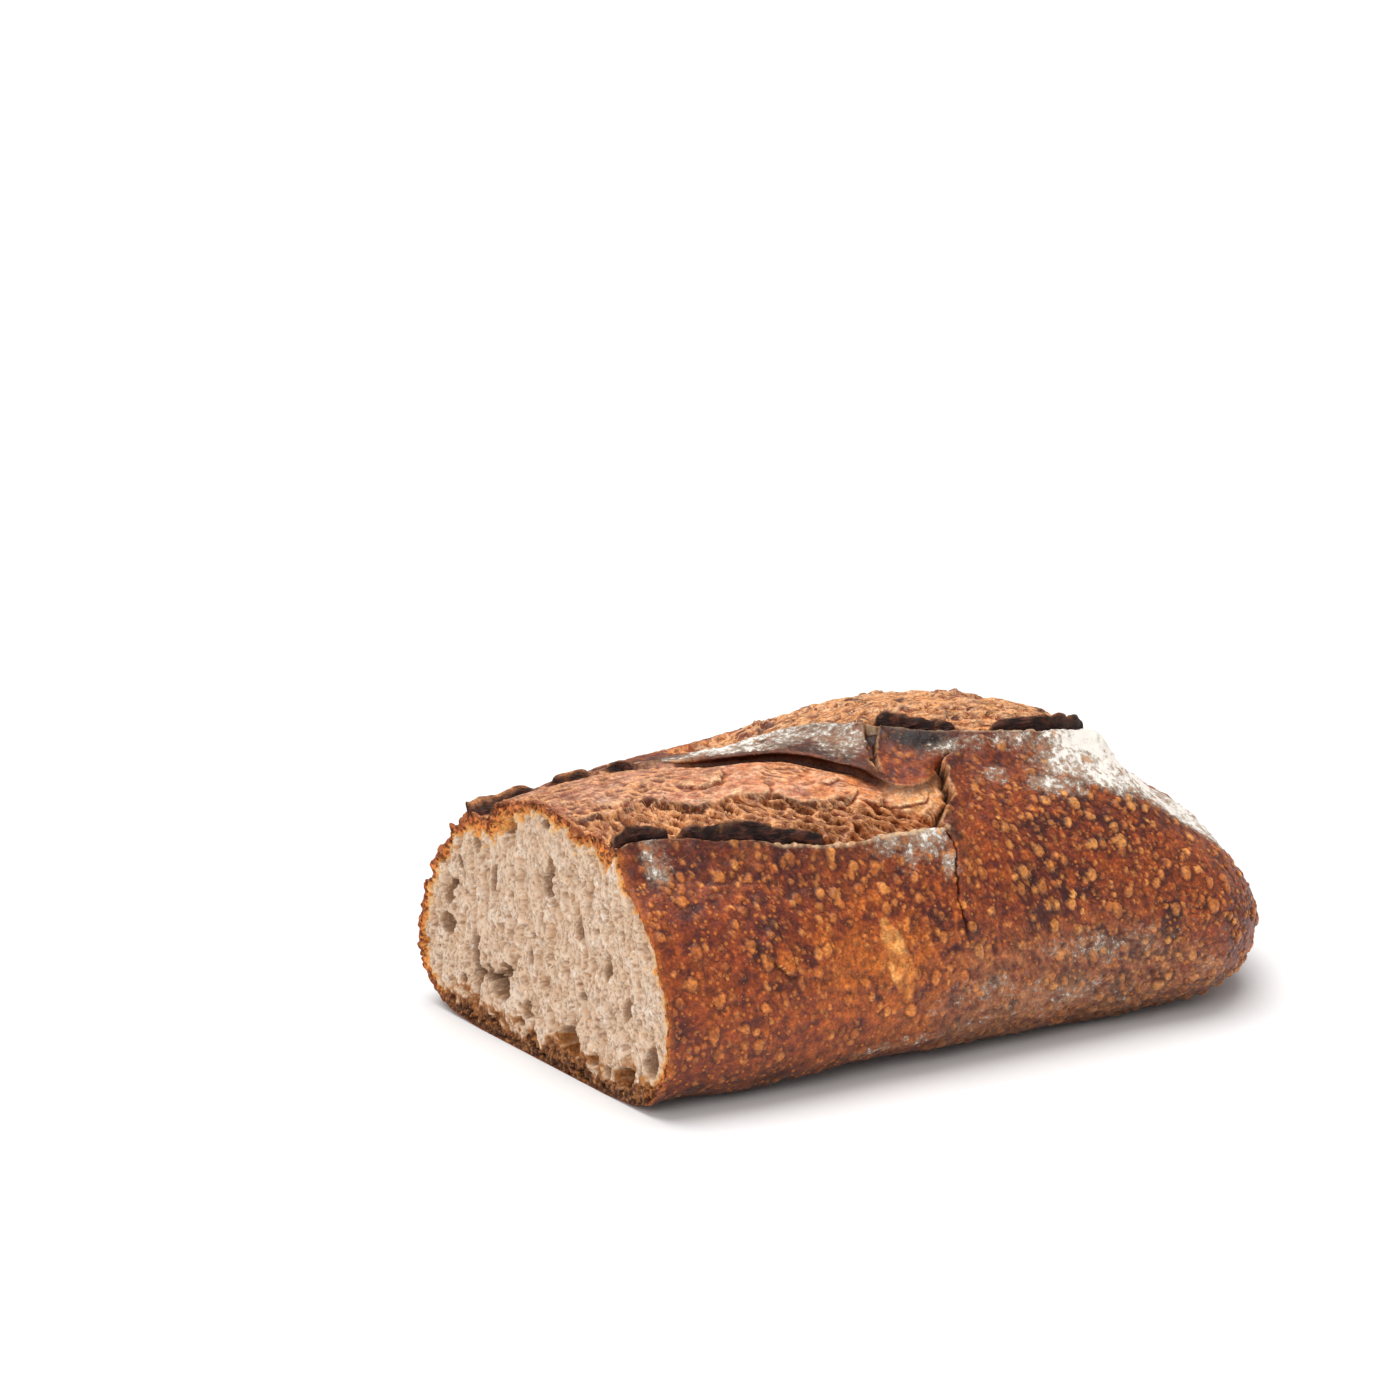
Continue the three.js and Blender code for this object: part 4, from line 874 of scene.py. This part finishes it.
# ----------------------------------------------------------------------------
# One closed mesh
# ----------------------------------------------------------------------------
n_skin = NX * NS
tip_id = n_skin
allp = (np.concatenate([SKIN.reshape(-1, 3), tip[None], CUT]) - np.array([X_MID, Y_MID, 0.0])) / 1000.0
i, j = np.arange(NX - 1)[:, None], np.arange(NS)[None]
k = (j + 1) % NS
quads = np.stack([i * NS + j, i * NS + k, (i + 1) * NS + k, (i + 1) * NS + j], axis=2).reshape(-1, 4)
fan = np.stack([(NX - 1) * NS + j[0], (NX - 1) * NS + k[0], np.full(NS, tip_id)], axis=1)
cutf = np.where(cut_tris < NS, cut_tris, cut_tris - NS + n_skin + 1)
top = np.argmax(SKIN[NX // 2, :, 2])
face = quads[(NX // 2) * NS + top]
if np.cross(allp[face[1]] - allp[face[0]], allp[face[2]] - allp[face[0]])[2] < 0:
    quads, fan = quads[:, ::-1], fan[:, ::-1]
if np.cross(allp[cutf[:, 1]] - allp[cutf[:, 0]], allp[cutf[:, 2]] - allp[cutf[:, 0]])[:, 0].sum() > 0:
    cutf = cutf[:, ::-1]

loops = np.concatenate([quads.ravel(), fan.ravel(), cutf.ravel()]).astype(np.int32)
sizes = np.concatenate([np.full(len(quads), 4), np.full(len(fan) + len(cutf), 3)]).astype(np.int32)
me = bpy.data.meshes.new("loaf_bread")
me.vertices.add(len(allp))
me.vertices.foreach_set("co", allp.astype(np.float32).ravel())
me.loops.add(len(loops))
me.loops.foreach_set("vertex_index", loops)
me.polygons.add(len(sizes))
me.polygons.foreach_set("loop_start", np.concatenate([[0], np.cumsum(sizes)[:-1]]).astype(np.int32))
me.polygons.foreach_set("loop_total", sizes)
me.update(calc_edges=True)
me.validate()
me.shade_smooth()


def attr(name, on_skin, at_tip, on_cut):
    a = me.attributes.new(name, "FLOAT", "POINT")
    a.data.foreach_set("value", np.concatenate([np.broadcast_to(on_skin, (n_skin,)), [at_tip], np.broadcast_to(on_cut, (len(CUT),))]).astype(np.float32))


tone_v = np.ones((len(allp), 4), np.float32)
tone_v[:, :3] = np.concatenate([SKIN_COL, SKIN_COL[-NS:].mean(axis=0, keepdims=True), CUT_COL])
me.attributes.new("tone", "FLOAT_COLOR", "POINT").data.foreach_set("color", tone_v.ravel())
strand_x = np.where(torn_2 > torn_1, SF, XF - lean_1 * (SF - 45) + 1.2 * noise(q, 7, 196))
strand_y = np.where(torn_2 > torn_1, XF, SF)
flat = np.concatenate([np.column_stack([strand_x, strand_y, 0 * XF]), [[LENGTH, 0, 0]], np.column_stack([fan_y - 200, fan_z, 0 * fan_y])]).astype(np.float32)
me.attributes.new("flat", "FLOAT_VECTOR", "POINT").data.foreach_set("vector", flat.ravel())
attr("flour", flour, 0.0, 0.0)
attr("rough", rough, 0.6, 0.85 - 0.15 * crust)
attr("crumb", 0.0, 0.0, (1 - crust) * (1 - 0.6 * hole_in))
attr("torn", torn * (1 - char) * (1 - np.interp(XF, [0, 20, 45], [0.30, 0.50, 0.80]) * smooth_1) * (1 - 0.65 * np.clip(pocket, 0, 1)) * mix(1.0, ss(2.0, 6.0, d_b1), torn_1 * ss(40, 52, XF)), 0.0, 0.0)
attr("blisters", blist_w * (1 - blister) * (1 - 0.7 * lift), 0.0, 0.0)
attr("skin", skin * (1 - char), 1.0, 0.0)
attr("toast", 0.0, 0.0, crust)
attr("char", char, 0.0, 0.0)

# UV map for baking: the skin laid out flat above, the cut face below
uv = me.uv_layers.new(name="OFBake")
arc = np.concatenate([[0], np.cumsum(np.linalg.norm(np.diff(SKIN[:, NS * 3 // 4], axis=0), axis=1))])
WIDE = 0.985
su = 0.0075 + WIDE * (S0 - S0[:, :1]) / (S0[:, -1:] - S0[:, :1] + (S0[:, 1:2] - S0[:, :1]))
sv = 0.385 + 0.605 * np.repeat((arc / arc[-1])[:, None], NS, axis=1)
cut_u, cut_v = (lambda y: 0.01 + (y + 76) / 152 * 0.55), (lambda z: 0.01 + z / 100 * 0.36)
vu = np.concatenate([su.ravel(), [0.5], cut_u(CUT[:, 1])])
vv = np.concatenate([sv.ravel(), [0.992], cut_v(CUT[:, 2])])
uvs = np.column_stack([vu[loops], vv[loops]])
nq = len(quads) * 4
lq = quads % NS
wrap = (lq == 0) & (lq.max(axis=1, keepdims=True) == NS - 1)
uvs[:nq, 0] = np.where(wrap.ravel(), 0.0075 + WIDE, uvs[:nq, 0])
nf = nq + len(fan) * 3
fan_j = np.where(fan == tip_id, -1, fan - (NX - 1) * NS)
first = np.where((fan_j == NS - 1).any(axis=1), NS - 1, fan_j.max(axis=1))
uvs[nq:nf, 0] = su[-1][np.where(fan_j < 0, np.clip(first, 0, NS - 1)[:, None], fan_j)].ravel()
seam = (fan_j == NS - 1).any(axis=1)[:, None] & (fan_j == 0)
uvs[nq:nf, 0] = np.where(seam.ravel(), 0.0075 + WIDE, uvs[nq:nf, 0])
lc = loops[nf:]
on_rim = np.where(lc < NS, lc, 0)
uvs[nf:, 0] = np.where(lc < NS, cut_u(SKIN[0, on_rim, 1]), uvs[nf:, 0])
uvs[nf:, 1] = np.where(lc < NS, cut_v(SKIN[0, on_rim, 2]), uvs[nf:, 1])
uv.data.foreach_set("uv", uvs.astype(np.float32).ravel())

bread = bpy.data.objects.new("loaf_bread", me)
bpy.context.scene.collection.objects.link(bread)

# ----------------------------------------------------------------------------
# Material. Heights in the bump are in millimetres.
# ----------------------------------------------------------------------------
mat = bpy.data.materials.new("baked_bread")
mat.use_nodes = True
nt = mat.node_tree
nt.nodes.clear()


def node(kind, **props):
    n = nt.nodes.new(kind)
    for key, val in props.items():
        setattr(n, key, val)
    return n


def feed(slot, v):
    if hasattr(v, "links"):
        nt.links.new(v, slot)
    elif isinstance(v, np.ndarray):
        slot.default_value = (*[float(c) for c in v], 1.0)
    elif v is not None:
        slot.default_value = v


def op(kind, a, b=None, c=None):
    n = node("ShaderNodeMath", operation=kind)
    for slot, v in zip(n.inputs, (a, b, c)):
        feed(slot, v)
    return n.outputs[0]


def mul(a, b):
    return op("MULTIPLY", a, b)


def add(*vs):
    out = vs[0]
    for v in vs[1:]:
        out = op("ADD", out, v)
    return out


def blend(fac, a, b, kind="MIX"):
    n = node("ShaderNodeMix", data_type="RGBA", blend_type=kind)
    n.clamp_factor = True
    for k, v in ((0, fac), (6, a), (7, b)):
        feed(n.inputs[k], v)
    return n.outputs[2]


def blend_f(fac, a, b):
    n = node("ShaderNodeMix", data_type="FLOAT")
    for k, v in ((0, fac), (2, a), (3, b)):
        feed(n.inputs[k], v)
    return n.outputs[0]


def ramp(v, a, b, lo=0.0, hi=1.0):
    n = node("ShaderNodeMapRange", interpolation_type="SMOOTHSTEP")
    feed(n.inputs[0], v)
    for slot, val in zip(n.inputs[1:5], (a, b, lo, hi)):
        slot.default_value = val
    return n.outputs[0]


def attribute(name, out="Fac"):
    return node("ShaderNodeAttribute", attribute_name=name).outputs[out]


def scaled(vec, scale):
    n = node("ShaderNodeVectorMath", operation="MULTIPLY")
    feed(n.inputs[0], vec)
    n.inputs[1].default_value = scale
    return n.outputs[0]


def node_add(vec, offset):
    n = node("ShaderNodeVectorMath", operation="ADD")
    feed(n.inputs[0], vec)
    n.inputs[1].default_value = offset
    return n.outputs[0]


coord = node("ShaderNodeTexCoord").outputs["Object"]
flat_v = attribute("flat", "Vector")


def noise_n(size_mm, detail=3.0, vec=None, roughness=0.55):
    n = node("ShaderNodeTexNoise")
    feed(n.inputs["Vector"], scaled(coord, (1000 / size_mm,) * 3) if vec is None else vec)
    n.inputs["Scale"].default_value = 1.0
    n.inputs["Detail"].default_value = detail
    n.inputs["Roughness"].default_value = roughness
    return n.outputs[0]


def voronoi_n(size_mm, vec=None, feature="F1"):
    n = node("ShaderNodeTexVoronoi", feature=feature)
    feed(n.inputs["Vector"], scaled(coord, (1000 / size_mm,) * 3) if vec is None else vec)
    n.inputs["Scale"].default_value = 1.0
    return n


tone = attribute("tone", "Color")
flour_a, rough_a, crumb_a, torn_a, blist_a, skin_a = [attribute(k) for k in ("flour", "rough", "crumb", "torn", "blisters", "skin")]
n_fine, n_mid, n_grain = noise_n(0.9, 4), noise_n(3.5, 4), noise_n(0.45, 2)
fine_c, mid_c, grain_c = ramp(n_fine, 0.3, 0.7, -1, 1), ramp(n_mid, 0.3, 0.7, -1, 1), ramp(n_grain, 0.3, 0.7, -1, 1)

# mottling: strong on the skin, weak on the crumb
level = mul(op("MULTIPLY_ADD", fine_c, 0.34, 1.0), op("MULTIPLY_ADD", mid_c, 0.26, 1.0))
level = blend_f(crumb_a, level, 1.0)
grey = node("ShaderNodeCombineColor")
for slot in grey.inputs:
    feed(slot, level)
shade = blend(1.0, tone, grey.outputs[0], "MULTIPLY")

# small blisters and pale specks on the skin
v_small = voronoi_n(2.3)
pick = node("ShaderNodeSeparateColor")
feed(pick.inputs[0], v_small.outputs["Color"])
spot_small = mul(mul(ramp(v_small.outputs["Distance"], 0.30, 0.20), ramp(pick.outputs[0], 0.45, 0.55)), blist_a)
shade = blend(mul(spot_small, 0.6), shade, rgb(214, 124, 50))
v_speck = voronoi_n(1.25)
pick2 = node("ShaderNodeSeparateColor")
feed(pick2.inputs[0], v_speck.outputs["Color"])
speck = mul(mul(ramp(v_speck.outputs["Distance"], 0.17, 0.09), ramp(pick2.outputs[1], 0.62, 0.70)), skin_a)
shade = blend(mul(speck, 0.45), shade, rgb(236, 186, 128))

# net of strands on the torn dough: thin light walls round hollows darkened with painted shade
def net(wide, long, z):
    v = voronoi_n(1, scaled(node_add(bent, (0, 0, z)), (1 / wide, 1 / long, 1)), "DISTANCE_TO_EDGE")
    return v.outputs["Distance"]


bend = node("ShaderNodeCombineXYZ")
feed(bend.inputs[0], mul(op("SUBTRACT", noise_n(5.0, 2), 0.5), 5.0))
feed(bend.inputs[1], mul(op("SUBTRACT", noise_n(3.7, 2), 0.5), 5.0))
joined = node("ShaderNodeVectorMath", operation="ADD")
feed(joined.inputs[0], flat_v)
feed(joined.inputs[1], bend.outputs[0])
bent = joined.outputs[0]
net_a, net_b, net_c = net(2.3, 7.5, 0.0), net(1.3, 5.0, 7.3), net(0.75, 2.2, 3.1)
hollow_a, hollow_b, hollow_c = ramp(net_a, 0.05, 0.30), ramp(net_b, 0.05, 0.28), ramp(net_c, 0.06, 0.30)
wall_n = op("MAXIMUM", mul(ramp(net_a, 0.085, 0.02), ramp(noise_n(4.2, 1), 0.40, 0.55)), mul(ramp(net_b, 0.07, 0.015), ramp(noise_n(3.1, 1), 0.48, 0.60)))
shade = blend(mul(torn_a, mul(hollow_a, 0.56)), shade, rgb(120, 44, 14))
shade = blend(mul(torn_a, mul(hollow_b, 0.30)), shade, rgb(138, 52, 18))
shade = blend(mul(torn_a, mul(hollow_c, 0.18)), shade, rgb(120, 50, 22))
shade = blend(mul(torn_a, mul(wall_n, 0.9)), shade, rgb(252, 182, 118))

# crumb: painted shade in the small pores and painted highlight flecks
v_crumb = voronoi_n(1, scaled(flat_v, (1 / 0.75, 1 / 1.15, 1)), "SMOOTH_F1")
v_crumb.inputs["Smoothness"].default_value = 0.6
pore = ramp(v_crumb.outputs["Distance"], 0.42, 0.18)
shade = blend(mul(crumb_a, mul(pore, 0.26)), shade, rgb(172, 132, 98))
shade = blend(mul(crumb_a, ramp(n_fine, 0.54, 0.70, 0, 0.30)), shade, rgb(250, 242, 232))

# charred ears: folds along the loaf, with a brown sheen on their ridges
char_a = attribute("char")
char_n = noise_n(1, 4, scaled(coord, (1000 / 7.5, 1000 / 2.2, 1000 / 1.15)))
shade = blend(mul(char_a, ramp(char_n, 0.50, 0.68, 0, 0.70)), shade, rgb(108, 66, 56))
shade = blend(mul(char_a, ramp(n_mid, 0.54, 0.68, 0, 0.50)), shade, rgb(104, 50, 26))

# toasted crust on the cut: small holes darkened with painted shade, and light crumbs
toast_a = attribute("toast")
toast_n = noise_n(1.5, 3)
toast_pit = mul(toast_a, ramp(toast_n, 0.49, 0.39))
shade = blend(mul(toast_pit, 0.75), shade, rgb(62, 26, 10))
shade = blend(mul(toast_a, ramp(toast_n, 0.56, 0.66, 0, 0.45)), shade, rgb(228, 146, 72))

# flour: a grey film where it is thin, sharp white clumps where it is thick
clump, drift = noise_n(1.7, 6, roughness=0.72), noise_n(6.0, 3)
clump_c, drift_c = mul(op("SUBTRACT", clump, 0.5), 4.4), mul(op("SUBTRACT", drift, 0.5), 1.6)
film = mul(ramp(add(flour_a, mul(clump_c, 0.34), mul(drift_c, 0.4)), 0.22, 1.05), 0.64)
shade = blend(film, shade, rgb(206, 182, 154))
f_mask = mul(ramp(add(flour_a, mul(clump_c, 0.85), mul(drift_c, 0.8)), 0.62, 1.22), ramp(flour_a, 0.10, 0.40))
shade = blend(mul(f_mask, 0.96), shade, rgb(252, 244, 234))

bs = node("ShaderNodeBsdfPrincipled")
feed(node("ShaderNodeOutputMaterial").inputs["Surface"], bs.outputs[0])
feed(bs.inputs["Base Color"], shade)
feed(bs.inputs["Roughness"], blend_f(op("MAXIMUM", f_mask, film), add(rough_a, mul(fine_c, 0.08)), 0.95))
feed(bs.inputs["Specular IOR Level"], op("MULTIPLY_ADD", skin_a, 0.14, op("MULTIPLY_ADD", torn_a, 0.32, 0.22)))
bs.inputs["IOR"].default_value = 1.45

height = add(mul(n_fine, blend_f(crumb_a, 0.18, 0.10)), mul(n_grain, 0.06), mul(spot_small, 0.22), mul(speck, 0.10),
             mul(torn_a, add(mul(hollow_a, -0.42), mul(hollow_b, -0.22), mul(hollow_c, -0.10), mul(wall_n, 0.16))), mul(toast_pit, -0.45), mul(char_a, mul(char_n, 1.7)), mul(crumb_a, mul(pore, -0.22)), mul(f_mask, add(mul(n_grain, 0.12), mul(clump, 0.25))))
bump = node("ShaderNodeBump")
bump.inputs["Strength"].default_value = 1.0
bump.inputs["Distance"].default_value = 0.001
feed(bump.inputs["Height"], height)
feed(bs.inputs["Normal"], bump.outputs[0])
me.materials.append(mat)

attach(bread, "root")
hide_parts("loaf")

# ----------------------------------------------------------------------------
# Floor, light and camera
# ----------------------------------------------------------------------------
fl = bpy.data.meshes.new("floor")
fl.from_pydata([(-8, -8, 0), (8, -8, 0), (8, 8, 0), (-8, 8, 0)], [], [(0, 1, 2, 3)])
floor = bpy.data.objects.new("floor", fl)
floor.location.z = -0.0002
bpy.context.scene.collection.objects.link(floor)
fm = bpy.data.materials.new("floor_white")
fm.use_nodes = True
fb = fm.node_tree.nodes["Principled BSDF"]
fb.inputs["Base Color"].default_value = (0.93, 0.93, 0.93, 1)
fb.inputs["Roughness"].default_value = 0.9
fb.inputs["Specular IOR Level"].default_value = 0.1
fl.materials.append(fm)

world = bpy.data.worlds.new("studio")
bpy.context.scene.world = world
world.use_nodes = True
bg = world.node_tree.nodes["Background"]
bg.inputs["Color"].default_value = (1, 1, 1, 1)
bg.inputs["Strength"].default_value = 0.50


def light(kind, name, loc, size, power):
    d = bpy.data.lights.new(name, kind)
    d.energy = power
    if kind == "SUN":
        d.angle = math.radians(size)
    else:
        d.size = size
    o = bpy.data.objects.new(name, d)
    bpy.context.scene.collection.objects.link(o)
    o.location = loc
    o.rotation_euler = (Vector((0, 0, 0.04)) - Vector(loc)).to_track_quat("-Z", "Y").to_euler()


light("SUN", "key", (-0.12, 0.10, 1.57), 48, 2.15)
light("AREA", "front", (-1.0, -1.0, 0.95), 0.8, 7.0)

az, el = math.radians(-28.5), math.radians(14.5)
back = Vector((math.sin(az) * math.cos(el), -math.cos(az) * math.cos(el), math.sin(el)))
right = Vector((math.cos(az), math.sin(az), 0))
up = back.cross(right)
cam_d = bpy.data.cameras.new("camera")
cam_d.sensor_width = 36.0
cam_d.lens = 36.0 * 3900 / 1400
cam_d.clip_start, cam_d.clip_end = 0.05, 50
cam = bpy.data.objects.new("camera", cam_d)
bpy.context.scene.collection.objects.link(cam)
depth_mm = 3900.0 * 0.295
pos = Vector((0, -55, 2)) + back * depth_mm + right * (60 / 3900 * depth_mm) + up * (406 / 3900 * depth_mm)
pos = (pos - Vector((X_MID, Y_MID, 0))) / 1000
cam.matrix_world = Matrix(((right.x, up.x, back.x, pos.x), (right.y, up.y, back.y, pos.y), (right.z, up.z, back.z, pos.z), (0, 0, 0, 1)))
bpy.context.scene.camera = cam

bpy.context.scene.view_settings.view_transform = "Standard"
bpy.context.scene.view_settings.look = "None"
bpy.context.scene.view_settings.exposure = 0.0
bpy.context.scene.view_settings.gamma = 1.0
